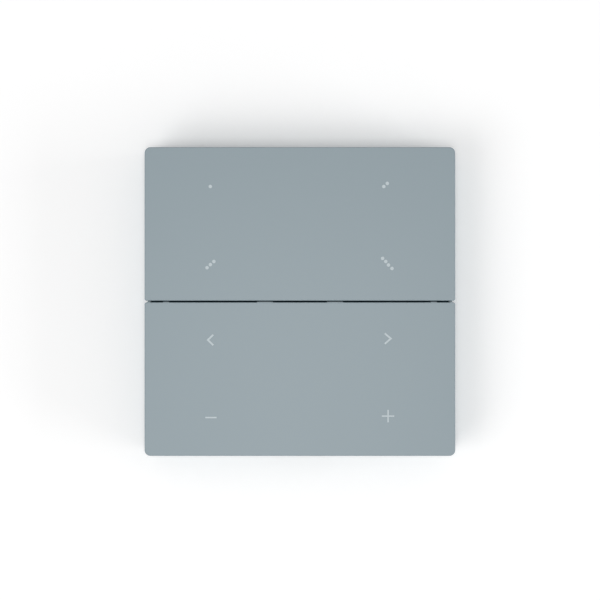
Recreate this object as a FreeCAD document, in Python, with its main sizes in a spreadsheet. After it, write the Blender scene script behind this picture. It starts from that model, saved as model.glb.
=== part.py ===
"""A wall-mounted lighting remote control, lying on its back.

Two wide tilting panels cover the front. Each one stands on a yoke that pivots on the carrier, so a press
near any of its four corners tips it onto a rubber dome on the circuit board. The panels overhang a shallow
housing that clings by four magnets to a steel plate, which is screwed or taped to the wall.

The origin is the middle of the back, in the plane of the tape that meets the wall. +Z points out of the
front, +Y to the upper panel and +X to the right. All lengths are in millimetres, all angles in degrees.
"""

import FreeCAD
import Part

import math
import os
from types import SimpleNamespace

import Sketcher

SIZES = {
    # The two panels
    "overall_width": 80.0,
    "overall_height": 79.5,
    "panel_gap": 0.42,
    "outer_corner": 1.5,
    "gap_corner": 0.5,
    "face_edge": 0.2,
    "skin": 1.2,
    "panel_rim": 1.5,
    "rib_wall": 0.8,
    "rib_height": 0.6,
    "rib_inset": 3.75,
    # The spacers on the lower panel's edge in the gap
    "nub_proud": 0.12,
    "nub_root": 0.7,
    "nub_sink": 0.1,
    "inner_nub_width": 4.1,
    "inner_nub_place": 9.0,
    "outer_nub_width": 1.5,
    "outer_nub_place": 34.5,
    "end_nub_width": 0.8,
    "end_nub_inset": 1.05,
    # Where a finger presses, from the inside of a panel's rim
    "press_inset_across": 15.9,
    "press_inset_along": 8.15,
    # The inner frame under each panel, whose edges keep their distance from the rim
    "frame_inset_across": 7.5,
    "frame_inset_along": 3.25,
    "frame_thickness": 0.8,
    "frame_corner": 2.0,
    "window_near": 4.0,
    "window_clear": 5.1,
    "window_height": 11.0,
    "tongue_width": 2.4,
    "tongue_wall": 0.8,
    "tongue_fit": 0.1,
    "hook_reach": 0.5,
    "hook_height": 0.3,
    "side_tongue_inset": 3.0,
    "end_tongue_inset": 1.6,
    "end_tongue_across": 10.0,
    "pusher_reach": 1.8,
    "pusher_web": 0.9,
    "pusher_gap": 0.05,
    # The tilting mechanism
    "tilt_room": 1.2,
    "axis_drop": 0.1,
    "trunnion_radius": 0.6,
    "bearing_clearance": 0.05,
    "snap_mouth": 1.0,
    "bearing_rise": 0.6,
    "bearing_length": 3.0,
    "bearing_width": 3.0,
    "bearing_foot": 0.05,
    "bearing_end_gap": 0.4,
    "yoke_width": 20.0,
    "yoke_height": 14.0,
    "yoke_bar": 2.5,
    "yoke_thickness": 1.4,
    "yoke_corner": 1.5,
    "yoke_gap": 0.4,
    "clip_length": 2.4,
    "clip_width": 3.0,
    "clip_room": 0.4,
    # The carrier
    "deck_thickness": 1.0,
    "carrier_clearance": 0.15,
    "carrier_corner": 1.0,
    "carrier_rim": 0.8,
    "dome_window": 9.8,
    "boss_radius": 2.5,
    "pilot_radius": 0.9,
    "pilot_web": 0.4,
    # The rubber mats
    "mat_inset_across": 10.35,
    "mat_inset_along": 3.45,
    "mat_thickness": 0.6,
    "mat_corner": 1.5,
    "mat_window_room": 0.8,
    "dome_reach": 3.6,
    "dome_height": 1.5,
    "dome_wall": 0.7,
    "dome_roof": 0.7,
    # The circuit board and what is soldered to it
    "board_thickness": 1.0,
    "board_clearance": 0.2,
    "board_corner": 1.5,
    "boss_clearance": 0.3,
    "radio_width": 15.0,
    "radio_height": 11.0,
    "radio_thickness": 0.8,
    "radio_inset": 4.5,
    "shield_width": 9.5,
    "shield_height": 8.0,
    "shield_thickness": 1.6,
    "shield_inset": 0.5,
    "chip_width": 4.0,
    "chip_thickness": 0.9,
    "chip_across": 19.0,
    "chip_along": 8.0,
    # The coin cell, its holder and its contacts
    "cell_radius": 10.0,
    "cell_thickness": 3.2,
    "cell_gap": 0.1,
    "contact_room": 0.6,
    "holder_clearance": 0.35,
    "holder_wall": 1.3,
    "holder_height": 2.4,
    "holder_slot": 4.6,
    "contact_sheet": 0.2,
    "contact_width": 4.0,
    "contact_reach": 7.0,
    "contact_gap": 0.05,
    "side_contact_height": 2.2,
    "side_contact_foot": 1.3,
    # The rear housing
    "housing_overhang": 0.6,
    "housing_corner": 1.2,
    "housing_edge": 0.4,
    "housing_wall": 0.8,
    "housing_ledge": 1.0,
    "wall_drop": 0.1,
    "rim_lift": 0.5,
    "nest_wall": 1.0,
    "floor_thickness": 1.2,
    "seat_gap": 0.1,
    "post_width": 6.0,
    "post_height": 1.6,
    "screw_inset": 6.8,
    "screw_hole_radius": 1.3,
    "head_seat_radius": 2.4,
    "head_seat_depth": 1.8,
    "pillar_width": 2.6,
    "pillar_across": 13.0,
    "pillar_along": 18.0,
    "nail_notch_width": 16.0,
    "magnet_length": 10.0,
    "magnet_width": 5.0,
    "magnet_thickness": 1.0,
    "magnet_inset": 14.8,
    "magnet_fit": 0.1,
    # The battery cover
    "cover_cell_gap": 0.6,
    "cover_clearance": 0.2,
    "cover_recess": 0.1,
    "cover_thickness": 1.1,
    "cover_rim_wall": 1.4,
    "lug_reach": 1.4,
    "lug_angle": 24.0,
    "lug_thickness": 0.8,
    "lug_gap": 0.1,
    "notch_angle": 28.0,
    "notch_extra": 0.3,
    "unlock_turn": 35.0,
    "stop_gap_angle": 2.5,
    "coin_slot_length": 15.0,
    "coin_slot_width": 1.8,
    "coin_slot_depth": 0.6,
    # The screws that close the housing
    "screw_head_radius": 2.1,
    "screw_head_height": 1.3,
    "screw_tip_gap": 0.4,
    # The wall plate, with facing slots 60 apart to suit a flush box, and its tape
    "plate_inset": 5.0,
    "plate_thickness": 1.2,
    "plate_corner": 4.0,
    "plate_clearance": 0.3,
    "slot_inset_across": 5.0,
    "slot_inset_along": 4.75,
    "slot_width": 4.4,
    "slot_length": 7.4,
    "sink_depth": 0.7,
    "sink_angle": 45.0,
    "head_relief_width": 9.0,
    "head_relief_depth": 0.7,
    "tape_width": 40.0,
    "tape_height": 14.0,
    "tape_thickness": 0.8,
    "tape_place": 17.0,
}

UPPER = 1
LOWER = -1
BOTH_SIDES = (-1, 1)
LUG_COUNT = 3
DOME_SIDES = 12
FIRST_LUG = 90
FULL_TURN = 360
TINY = 1e-4
SHEET = "Sizes"


class Length:
    """A size with its value and the formula of spreadsheet cells behind it."""

    def __init__(self, value, formula):
        self.value = value
        self.formula = formula

    def joined(self, other, sign, value):
        """The size that an arithmetic sign makes of this one and another."""
        return Length(value, f"({self.formula} {sign} {as_length(other).formula})")

    def __add__(self, other):
        return self.joined(other, "+", self.value + as_length(other).value)

    def __sub__(self, other):
        return self.joined(other, "-", self.value - as_length(other).value)

    def __mul__(self, other):
        return self.joined(other, "*", self.value * as_length(other).value)

    def __truediv__(self, other):
        return self.joined(other, "/", self.value / as_length(other).value)

    def __neg__(self):
        return self * -1


def as_length(number):
    """A plain number as a Length; a Length is given back as it is."""
    return number if isinstance(number, Length) else Length(number, f"({number})")


def named_sizes():
    """Every cell of the spreadsheet as a Length, by its alias."""
    return SimpleNamespace(**{alias: Length(value, f"{SHEET}.{alias}") for alias, value in SIZES.items()})


def heights(s):
    """The heights that follow from the driving sizes, each named for the face that lies there."""
    z = SimpleNamespace()
    z.wall = as_length(0)
    z.plate_bottom = s.tape_thickness
    z.plate_top = z.plate_bottom + s.plate_thickness
    z.floor_bottom = z.plate_top + s.seat_gap
    z.floor_top = z.floor_bottom + s.floor_thickness
    z.cover_bottom = z.floor_bottom + s.cover_recess
    z.cover_top = z.cover_bottom + s.cover_thickness
    z.lug_bottom = z.floor_top + s.lug_gap
    z.lug_top = z.lug_bottom + s.lug_thickness
    z.magnet_bottom = z.floor_top - s.magnet_thickness
    z.head_seat = z.floor_bottom + s.head_seat_depth
    z.post_top = z.floor_top + s.post_height
    z.cell_bottom = z.cover_top + s.cell_gap
    z.cell_top = z.cell_bottom + s.cell_thickness
    z.board_bottom = z.cell_top + s.contact_room
    z.board_top = z.board_bottom + s.board_thickness
    z.dome_top = z.board_top + s.dome_height
    z.deck_bottom = z.board_top + s.mat_thickness
    z.deck_top = z.deck_bottom + s.deck_thickness
    z.wall_top = z.deck_top - s.wall_drop
    z.axis = z.deck_top - s.axis_drop
    z.frame_bottom = z.deck_top + s.tilt_room
    z.frame_top = z.frame_bottom + s.frame_thickness
    z.face = z.frame_top + s.skin
    return z


def places(s):
    """The places across the front that follow from the driving sizes."""
    p = SimpleNamespace()
    p.half_width = s.overall_width / 2
    p.half_height = s.overall_height / 2
    p.half_gap = s.panel_gap / 2
    p.panel_middle = (p.half_height + p.half_gap) / 2
    p.inner_x = p.half_width - s.panel_rim
    p.inner_y = (p.half_height - p.half_gap) / 2 - s.panel_rim
    p.frame_x = p.inner_x - s.frame_inset_across
    p.frame_y = p.inner_y - s.frame_inset_along
    p.press_x = p.inner_x - s.press_inset_across
    p.press_y = p.inner_y - s.press_inset_along
    p.housing_x = p.half_width - s.housing_overhang
    p.housing_y = p.half_height - s.housing_overhang
    p.cavity_x = p.housing_x - s.housing_wall
    p.cavity_y = p.housing_y - s.housing_wall
    p.mat_x = p.cavity_x - s.mat_inset_across
    p.mat_y = p.inner_y - s.mat_inset_along
    p.plate_x = p.half_width - s.plate_inset
    p.plate_y = p.half_height - s.plate_inset
    p.nest_x = p.plate_x + s.plate_clearance
    p.nest_y = p.plate_y + s.plate_clearance
    p.board_x = p.cavity_x - s.board_clearance
    p.board_y = p.cavity_y - s.board_clearance
    p.magnets = corners_at(p.cavity_x - s.magnet_inset, p.cavity_y - s.magnet_inset)
    screw_x, screw_y = p.cavity_x - s.screw_inset, p.cavity_y - s.screw_inset
    p.screws = [(-screw_x, screw_y), (screw_x, -screw_y)]
    p.cover_radius = s.cell_radius + s.cover_cell_gap + s.cover_rim_wall
    p.bearing_radius = s.trunnion_radius + s.bearing_clearance
    p.bearing_start = s.yoke_width / 2 + s.yoke_gap
    p.bearing_end = p.bearing_start + s.bearing_length
    p.clip_start = s.yoke_height / 2 + s.yoke_gap
    p.clip_end = p.clip_start + s.clip_length
    p.window_y = p.clip_end + s.clip_room
    return p


def corners_at(across, along):
    """The four points at a distance across and along from the middle."""
    return [(across * i, along * j) for i in BOTH_SIDES for j in BOTH_SIDES]


def press_points(p, side):
    """The four places of a panel that a finger presses."""
    middle = p.panel_middle * side
    return [(x, middle + y) for x, y in corners_at(p.press_x, p.press_y)]


def tongues(s, p, side, grown):
    """The outlines of the six snap tongues that hold the inner frame to its panel, grown all round."""
    middle = p.panel_middle * side
    half_width, half_wall = s.tongue_width / 2 + grown, s.tongue_wall / 2 + grown
    across = p.frame_x - s.side_tongue_inset
    along = p.frame_y - s.end_tongue_inset
    found = [(across * i, middle, half_wall, half_width) for i in BOTH_SIDES]
    found += [(x, middle + y, half_width, half_wall) for x, y in corners_at(s.end_tongue_across, along)]
    return [rectangle(x - half_x, x + half_x, y - half_y, y + half_y) for x, y, half_x, half_y in found]


def nub_places(s, p):
    """The middle and width of each spacer on the lower panel's upper edge."""
    one_side = [
        (s.inner_nub_place, s.inner_nub_width),
        (s.outer_nub_place, s.outer_nub_width),
        (p.half_width - s.end_nub_inset, s.end_nub_width),
    ]
    return [(x * i, width) for x, width in one_side for i in BOTH_SIDES]


def wall_screw_points(s, p):
    """The four places of the wall plate's screws, and whether the slot there runs along Y."""
    reach_x, reach_y = p.plate_x - s.slot_inset_across, p.plate_y - s.slot_inset_along
    across = [(reach_x * i, as_length(0), False) for i in BOTH_SIDES]
    return across + [(as_length(0), reach_y * i, True) for i in BOTH_SIDES]


def make_sheet(document):
    """The spreadsheet that holds the driving sizes."""
    sheet = document.addObject("Spreadsheet::Sheet", SHEET)
    for row, (alias, value) in enumerate(SIZES.items(), start=1):
        sheet.set(f"A{row}", alias)
        sheet.set(f"B{row}", str(value))
        sheet.setAlias(f"B{row}", alias)
    document.recompute()


def bind(thing, name, length):
    """Sets a property now and binds it to the formula of its length."""
    length = as_length(length)
    setattr(thing, name, length.value)
    thing.setExpression(name, length.formula)


def place(thing, x, y, z):
    """Puts an object at a bound position."""
    thing.Placement.Base = FreeCAD.Vector(*(as_length(v).value for v in (x, y, z)))
    for axis, length in zip("xyz", (x, y, z)):
        thing.setExpression(f"Placement.Base.{axis}", as_length(length).formula)


def rectangle(left, right, bottom, top):
    """The corners of a rectangle, anticlockwise from the lower left."""
    return [(left, bottom), (right, bottom), (right, top), (left, top)]


def centred(half_x, half_y, middle_y=0):
    """The corners of a rectangle centred on x = 0."""
    middle_y = as_length(middle_y)
    return rectangle(-half_x, half_x, middle_y - half_y, middle_y + half_y)


def plus(x, y, reach, half_web):
    """The corners of a plus sign about a point, anticlockwise."""
    quarter = [(half_web, reach), (-half_web, reach), (-half_web, half_web)]
    points = []
    for _ in range(4):
        points += quarter
        quarter = [(-b, a) for a, b in quarter]
    return [(x + dx, y + dy) for dx, dy in points]


def square(x, y, side):
    """A square outline centred on a point."""
    half = side / 2
    return polygon(rectangle(x - half, x + half, y - half, y + half))


def dome_ring(x, y, reach):
    """The many-sided outline of a dome, with its corners at a distance from its middle."""
    turns = [2 * math.pi * i / DOME_SIDES for i in range(DOME_SIDES)]
    return polygon([(x + reach * round(math.cos(a), 6), y + reach * round(math.sin(a), 6)) for a in turns])


def beside_gap(side, near, far, half_x):
    """A rectangle on one side of the gap, from near to far and centred on x = 0."""
    low, high = ordered(side, near, far)
    return rectangle(-half_x, half_x, low, high)


def ordered(side, near, far):
    """Two distances from the middle as a low and a high coordinate on one side of it."""
    return (near, far) if side > 0 else (-far, -near)


class Moulding:
    """A PartDesign body that grows feature by feature from sketches bound to the spreadsheet."""

    def __init__(self, document, label):
        self.document = document
        self.body = document.addObject("PartDesign::Body", label)
        self.body.Label = label
        self.count = 0
        self.volume = 0.0

    def named(self, kind):
        """A feature name that is unique in the document."""
        self.count += 1
        return f"{self.body.Label}_{kind}_{self.count}"

    def drawn(self, height, outlines, plane="XY_Plane"):
        """A sketch with outlines in it, moved along the normal of an origin plane to a height."""
        height = as_length(height)
        sketch = self.body.newObject("Sketcher::SketchObject", self.named("sketch"))
        support = next(f for f in self.body.Origin.OriginFeatures if f.Role == plane)
        sketch.AttachmentSupport = [(support, "")]
        sketch.MapMode = "FlatFace"
        sketch.AttachmentOffset = FreeCAD.Placement(FreeCAD.Vector(0, 0, height.value), FreeCAD.Rotation())
        sketch.setExpression("AttachmentOffset.Base.z", height.formula)
        for outline in outlines:
            outline(sketch)
        return sketch

    def pad(self, height, length, *outlines):
        """Grows outlines, each drawn by a function of the sketch, upwards from a height."""
        return self.extrude("Pad", self.drawn(height, outlines), length)

    def pocket(self, height, length, *outlines, taper=None):
        """Cuts outlines upwards from a height."""
        return self.extrude("Pocket", self.drawn(height, outlines), length, taper=taper)

    def extrude(self, kind, sketch, length, taper=None, both_ways=False):
        """Adds (Pad) or cuts (Pocket) the sketch's outlines along its normal."""
        feature = self.body.newObject(f"PartDesign::{kind}", self.named(kind.lower()))
        feature.Profile = sketch
        feature.Midplane = both_ways
        feature.Reversed = kind == "Pocket"
        bind(feature, "Length", length)
        if taper is not None:
            bind(feature, "TaperAngle", taper)
        return self.checked(feature, grows=kind == "Pad")

    def around(self, feature, count, grows):
        """Repeats a feature in equal steps of a full turn about the Z axis."""
        pattern = self.body.newObject("PartDesign::PolarPattern", self.named("pattern"))
        pattern.Originals = [feature]
        pattern.Axis = (feature.Profile[0], ["N_Axis"])
        pattern.Angle = FULL_TURN
        pattern.Occurrences = count
        self.body.Tip = pattern
        return self.checked(pattern, grows)

    def round_edges(self, radius, chosen):
        """Fillets the edges of the tip that a test picks."""
        return self.dress("Fillet", "Radius", radius, chosen)

    def bevel_edges(self, size, chosen):
        """Chamfers the edges of the tip that a test picks."""
        return self.dress("Chamfer", "Size", size, chosen)

    def dress(self, kind, measured, size, chosen):
        """Adds a Fillet or Chamfer of a bound size to the edges of the tip that a test picks."""
        base = self.body.Tip
        names = [f"Edge{i}" for i, edge in enumerate(base.Shape.Edges, start=1) if chosen(edge)]
        if not names:
            raise RuntimeError(f"{self.body.Label} has no edge to dress")
        feature = self.body.newObject(f"PartDesign::{kind}", self.named(kind.lower()))
        feature.Base = (base, names)
        bind(feature, measured, size)
        self.document.recompute()
        if "Invalid" in feature.State or not feature.Shape.isValid():
            raise RuntimeError(f"{feature.Name} failed")
        self.volume = feature.Shape.Volume
        return feature

    def checked(self, feature, grows):
        """Recomputes and stops if the feature failed, or left the solid as large as it was."""
        self.document.recompute()
        if "Invalid" in feature.State or feature.Shape.isNull():
            raise RuntimeError(f"{feature.Name} failed")
        change = feature.Shape.Volume - self.volume
        if (change if grows else -change) < TINY:
            raise RuntimeError(f"{feature.Name} changed the volume by {change:.4f} mm3")
        self.volume = feature.Shape.Volume
        return feature


def measure(sketch, constraint, length):
    """Adds a constraint and binds its value."""
    index = sketch.addConstraint(constraint)
    sketch.setExpression(f"Constraints[{index}]", as_length(length).formula)


def pin_point(sketch, geometry, position, x, y):
    """Binds both coordinates of a point of a sketch."""
    for kind, length in (("DistanceX", as_length(x)), ("DistanceY", as_length(y))):
        measure(sketch, Sketcher.Constraint(kind, geometry, position, length.value), length)


def polygon(points):
    """An outline with straight sides, whose corners are all bound."""

    def draw(sketch):
        first = sketch.GeometryCount
        bound = [(as_length(x), as_length(y)) for x, y in points]
        corners = [FreeCAD.Vector(x.value, y.value, 0) for x, y in bound]
        for start, end in zip(corners, corners[1:] + corners[:1]):
            sketch.addGeometry(Part.LineSegment(start, end), False)
        for i, (x, y) in enumerate(bound):
            following = first + (i + 1) % len(bound)
            sketch.addConstraint(Sketcher.Constraint("Coincident", first + i, 2, following, 1))
            pin_point(sketch, first + i, 1, x, y)

    return draw


def circle(x, y, radius):
    """A circle whose centre and radius are bound."""

    def draw(sketch):
        centre = FreeCAD.Vector(as_length(x).value, as_length(y).value, 0)
        index = sketch.addGeometry(Part.Circle(centre, FreeCAD.Vector(0, 0, 1), radius.value), False)
        pin_point(sketch, index, 3, x, y)
        measure(sketch, Sketcher.Constraint("Radius", index, radius.value), radius)

    return draw


def arc_about(x, y, radius, start, end):
    """An arc of a circle about a point, between two directions in radians."""
    ring = Part.Circle(FreeCAD.Vector(x, y, 0), FreeCAD.Vector(0, 0, 1), radius)
    return Part.ArcOfCircle(ring, start, end)


def slot(x, y, length, width, along_y):
    """A slot with round ends, centred on a point."""
    reach = (length - width) / 2
    radius = width / 2
    turn = math.pi / 2 if along_y else 0.0

    def draw(sketch):
        arcs = []
        for i, offset in enumerate((reach, -reach)):
            cx = x if along_y else x + offset
            cy = y + offset if along_y else y
            start = turn - math.pi / 2 + i * math.pi
            arc = arc_about(cx.value, cy.value, radius.value, start, start + math.pi)
            arcs.append(sketch.addGeometry(arc, False))
            pin_point(sketch, arcs[i], 3, cx, cy)
        for leaving, entering in (arcs, reversed(arcs)):
            ends = sketch.getPoint(leaving, 2), sketch.getPoint(entering, 1)
            line = sketch.addGeometry(Part.LineSegment(*ends), False)
            sketch.addConstraint(Sketcher.Constraint("Tangent", line, 1, leaving, 2))
            sketch.addConstraint(Sketcher.Constraint("Tangent", line, 2, entering, 1))
        sketch.addConstraint(Sketcher.Constraint("Equal", arcs[0], arcs[1]))
        measure(sketch, Sketcher.Constraint("Radius", arcs[0], radius.value), radius)

    return draw


def sector(inner, outer, direction, width):
    """A stretch of a ring about the origin: two arcs joined by two radial sides."""
    sides = [direction - width / 2, direction + width / 2]
    origin = -1

    def draw(sketch):
        angles = [math.radians(side.value) for side in sides]
        arcs = []
        for radius in (outer, inner):
            arcs.append(sketch.addGeometry(arc_about(0, 0, radius.value, *angles), False))
            sketch.addConstraint(Sketcher.Constraint("Coincident", arcs[-1], 3, origin, 1))
            measure(sketch, Sketcher.Constraint("Radius", arcs[-1], radius.value), radius)
        for end, angle in enumerate(sides, start=1):
            points = sketch.getPoint(arcs[1], end), sketch.getPoint(arcs[0], end)
            line = sketch.addGeometry(Part.LineSegment(*points), False)
            sketch.addConstraint(Sketcher.Constraint("Coincident", line, 1, arcs[1], end))
            sketch.addConstraint(Sketcher.Constraint("Coincident", line, 2, arcs[0], end))
            sketch.addConstraint(Sketcher.Constraint("PointOnObject", origin, 1, line))
            turned = Sketcher.Constraint("Angle", line, math.radians(angle.value))
            index = sketch.addConstraint(turned)
            sketch.setExpression(f"Constraints[{index}]", f"{angle.formula} * 1 deg")

    return draw


def upright(edge):
    """Whether an edge is a straight one along Z."""
    box = edge.BoundBox
    return box.XLength < TINY and box.YLength < TINY


def upright_at(half_x, half_y):
    """A test that picks upright edges at a distance from the middle."""

    def test(edge):
        box = edge.BoundBox
        return upright(edge) and abs(abs(box.XMin) - half_x.value) + abs(abs(box.YMin) - half_y.value) < TINY

    return test


def level_at(height):
    """A test that picks every edge that lies in a level plane."""

    def test(edge):
        box = edge.BoundBox
        return abs(box.ZMin - height.value) + abs(box.ZMax - height.value) < TINY

    return test


def group(document, label, members):
    """Several equal loose solids kept as one sub-part."""
    together = document.addObject("Part::Compound", label)
    together.Label = label
    together.Links = members
    return together


def block(document, name, sizes, corner):
    """A bound box with its lowest corner at a bound place."""
    box = document.addObject("Part::Box", name)
    for side, length in zip(("Length", "Width", "Height"), sizes):
        bind(box, side, length)
    place(box, *corner)
    return box


def disc(document, name, radius, height, foot):
    """A bound cylinder that stands on a bound place."""
    cylinder = document.addObject("Part::Cylinder", name)
    bind(cylinder, "Radius", radius)
    bind(cylinder, "Height", height)
    place(cylinder, *foot)
    return cylinder


def mounting_tape(document, s, z):
    """The two strips of foam tape behind the wall plate, cut square from a roll."""
    sizes = (s.tape_width, s.tape_height, s.tape_thickness)
    strips = []
    for i, side in enumerate((UPPER, LOWER), start=1):
        corner = (-s.tape_width / 2, s.tape_place * side - s.tape_height / 2, z.wall)
        strips.append(block(document, f"tape_{i}", sizes, corner))
    return group(document, "mounting_tape", strips)


def wall_plate(document, s, z, p):
    """The steel plate on the wall, with countersunk slots at the spacing of a flush box."""
    part = Moulding(document, "wall_plate")
    part.pad(z.plate_bottom, s.plate_thickness, polygon(centred(p.plate_x, p.plate_y)))
    part.round_edges(s.plate_corner, upright)
    slots = [slot(x, y, s.slot_length, s.slot_width, along_y) for x, y, along_y in wall_screw_points(s, p)]
    part.pocket(z.plate_bottom, s.plate_thickness, *slots)
    part.pocket(z.plate_top - s.sink_depth, s.sink_depth, *slots, taper=s.sink_angle)
    return part.body


def rear_housing(document, s, z, p):
    """The tray that holds everything, with a nest for the wall plate in its back."""
    part = Moulding(document, "rear_housing")
    part.pad(s.rim_lift, z.wall_top - s.rim_lift, polygon(centred(p.housing_x, p.housing_y)))
    part.round_edges(s.housing_corner, upright)
    part.bevel_edges(s.housing_edge, level_at(s.rim_lift))
    rim_height = z.floor_bottom - s.rim_lift
    part.pocket(s.rim_lift, rim_height, polygon(centred(p.nest_x, p.nest_y)))
    part.round_edges(s.plate_corner + s.plate_clearance, upright_at(p.nest_x, p.nest_y))
    core = [centred(p.cavity_x, p.cavity_y), centred(p.nest_x + s.nest_wall, p.nest_y + s.nest_wall)]
    part.pocket(s.rim_lift, rim_height, *[polygon(points) for points in core])
    part.pocket(z.board_bottom, z.wall_top - z.board_bottom, polygon(centred(p.cavity_x, p.cavity_y)))
    well = centred(p.cavity_x - s.housing_ledge, p.cavity_y - s.housing_ledge)
    part.pocket(z.floor_top, z.board_bottom - z.floor_top, polygon(well))
    from_floor = z.floor_top - s.floor_thickness / 2
    part.pad(from_floor, z.post_top - from_floor, *[square(x, y, s.post_width) for x, y in p.screws])
    through = [circle(x, y, s.screw_hole_radius) for x, y in p.screws]
    part.pocket(z.floor_bottom, z.post_top - z.floor_bottom, *through)
    part.pocket(z.floor_bottom, s.head_seat_depth, *[circle(x, y, s.head_seat_radius) for x, y in p.screws])
    pillars = [square(x, y, s.pillar_width) for x, y in corners_at(s.pillar_across, s.pillar_along)]
    part.pad(from_floor, z.board_bottom - from_floor, *pillars)
    half_x, half_y = s.magnet_length / 2 + s.magnet_fit, s.magnet_width / 2 + s.magnet_fit
    beds = [rectangle(x - half_x, x + half_x, y - half_y, y + half_y) for x, y in p.magnets]
    part.pocket(z.magnet_bottom, s.magnet_thickness, *[polygon(points) for points in beds])
    reliefs = [square(x, y, s.head_relief_width) for x, y, _ in wall_screw_points(s, p)]
    part.pocket(z.floor_bottom, s.head_relief_depth, *reliefs)
    battery_opening(part, s, z, p)
    nail = rectangle(-s.nail_notch_width / 2, s.nail_notch_width / 2, -p.housing_y, -p.cavity_y)
    part.pocket(s.rim_lift, rim_height, polygon(nail))
    return part.body


def battery_opening(part, s, z, p):
    """The round opening in the housing's floor, with a notch for each lug of the cover and stops between."""
    lug = as_length(FIRST_LUG)
    part.pocket(z.floor_bottom, s.floor_thickness, circle(0, 0, p.cover_radius + s.cover_clearance))
    far = p.cover_radius + s.lug_reach + s.notch_extra
    notch = part.pocket(z.floor_bottom, s.floor_thickness, sector(p.cover_radius, far, lug + s.unlock_turn,
                                                                  s.notch_angle))
    part.around(notch, LUG_COUNT, grows=False)
    swept = s.unlock_turn + s.lug_angle + s.stop_gap_angle * 2
    stop_angle = as_length(FULL_TURN) / LUG_COUNT - swept
    direction = lug - s.lug_angle / 2 - s.stop_gap_angle - stop_angle / 2
    sink = s.floor_thickness / 2
    stop = part.pad(z.floor_top - sink, sink + s.lug_gap + s.lug_thickness,
                    sector(p.cover_radius + s.cover_clearance, far, direction, stop_angle))
    part.around(stop, LUG_COUNT, grows=True)


def battery_cover(document, s, z, p):
    """The round cover in the back, turned with a coin, whose three lugs lock behind the housing's floor."""
    part = Moulding(document, "battery_cover")
    part.pad(z.cover_bottom, s.cover_thickness, circle(0, 0, p.cover_radius))
    inner = p.cover_radius - s.cover_rim_wall
    ring_bottom = z.cover_top - s.cover_thickness / 2
    part.pad(ring_bottom, z.lug_top - ring_bottom, circle(0, 0, p.cover_radius), circle(0, 0, inner))
    root = p.cover_radius - s.cover_rim_wall / 2
    shape = sector(root, p.cover_radius + s.lug_reach, as_length(FIRST_LUG), s.lug_angle)
    part.around(part.pad(z.lug_bottom, s.lug_thickness, shape), LUG_COUNT, grows=True)
    groove = centred(s.coin_slot_length / 2, s.coin_slot_width / 2)
    part.pocket(z.cover_bottom, s.coin_slot_depth, polygon(groove))
    return part.body


def magnets(document, s, z, p):
    """The four flat block magnets in the housing's floor."""
    sizes = (s.magnet_length, s.magnet_width, s.magnet_thickness)
    blocks = []
    for i, (x, y) in enumerate(p.magnets, start=1):
        corner = (x - s.magnet_length / 2, y - s.magnet_width / 2, z.magnet_bottom)
        blocks.append(block(document, f"magnet_{i}", sizes, corner))
    return group(document, "magnets", blocks)


def housing_screws(document, s, z, p):
    """The two screws that come in from the back."""
    height = s.screw_head_height
    shank_length = z.deck_top - s.pilot_web - s.screw_tip_gap - z.head_seat
    screws = []
    for i, (x, y) in enumerate(p.screws, start=1):
        screw = document.addObject("Part::Fuse", f"screw_{i}")
        screw.Base = disc(document, f"head_{i}", s.screw_head_radius, height, (x, y, z.head_seat - height))
        screw.Tool = disc(document, f"shank_{i}", s.pilot_radius, shank_length, (x, y, z.head_seat))
        screws.append(screw)
    return group(document, "housing_screws", screws)


def coin_cell(document, s, z):
    """The button cell, with its wide face towards the cover."""
    part = Moulding(document, "coin_cell")
    part.pad(z.cell_bottom, s.cell_thickness, circle(0, 0, s.cell_radius))
    return part.body


def battery_holder(document, s, z):
    """The square frame round the cell under the circuit board, slotted for the side contact."""
    part = Moulding(document, "battery_holder")
    inner = s.cell_radius + s.holder_clearance
    outer = inner + s.holder_wall
    bottom = z.board_bottom - s.holder_height
    part.pad(bottom, s.holder_height, polygon(centred(outer, outer)), circle(0, 0, inner))
    half = s.holder_slot / 2
    part.pocket(bottom, s.holder_height, polygon(rectangle(inner / 2, outer + s.holder_wall, -half, half)))
    return part.body


def side_contact(document, s, z):
    """The spring blade, an angle of thin sheet, that touches the side of the cell."""
    part = Moulding(document, "side_contact")
    face = s.cell_radius + s.contact_gap
    back = face + s.contact_sheet
    foot = face + s.side_contact_foot
    bottom = z.board_bottom - s.side_contact_height
    underside = z.board_bottom - s.contact_sheet
    profile = [
        (face, bottom),
        (back, bottom),
        (back, underside),
        (foot, underside),
        (foot, z.board_bottom),
        (face, z.board_bottom),
    ]
    part.extrude("Pad", part.drawn(0, [polygon(profile)], "XZ_Plane"), s.contact_width, both_ways=True)
    return part.body


def cap_contact(document, s, z):
    """The bent leaf on the circuit board that presses on the cell's cap."""
    part = Moulding(document, "cap_contact")
    reach, sheet = s.contact_reach, s.contact_sheet
    bend = reach / 2
    profile = [
        (-reach, z.board_bottom),
        (-reach, z.board_bottom - sheet),
        (-bend, z.board_bottom - sheet),
        (bend, z.cell_top),
        (reach, z.cell_top),
        (reach, z.cell_top + sheet),
        (bend, z.cell_top + sheet),
        (-bend, z.board_bottom),
    ]
    part.extrude("Pad", part.drawn(0, [polygon(profile)], "XZ_Plane"), s.contact_width, both_ways=True)
    return part.body


def circuit_board(document, s, z, p):
    """The fibreglass board on the housing's ledge, with holes for the carrier's screw bosses."""
    part = Moulding(document, "circuit_board")
    part.pad(z.board_bottom, s.board_thickness, polygon(centred(p.board_x, p.board_y)))
    part.bevel_edges(s.board_corner, upright)
    holes = [circle(x, y, s.boss_radius + s.boss_clearance) for x, y in p.screws]
    part.pocket(z.board_bottom, s.board_thickness, *holes)
    return part.body


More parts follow.
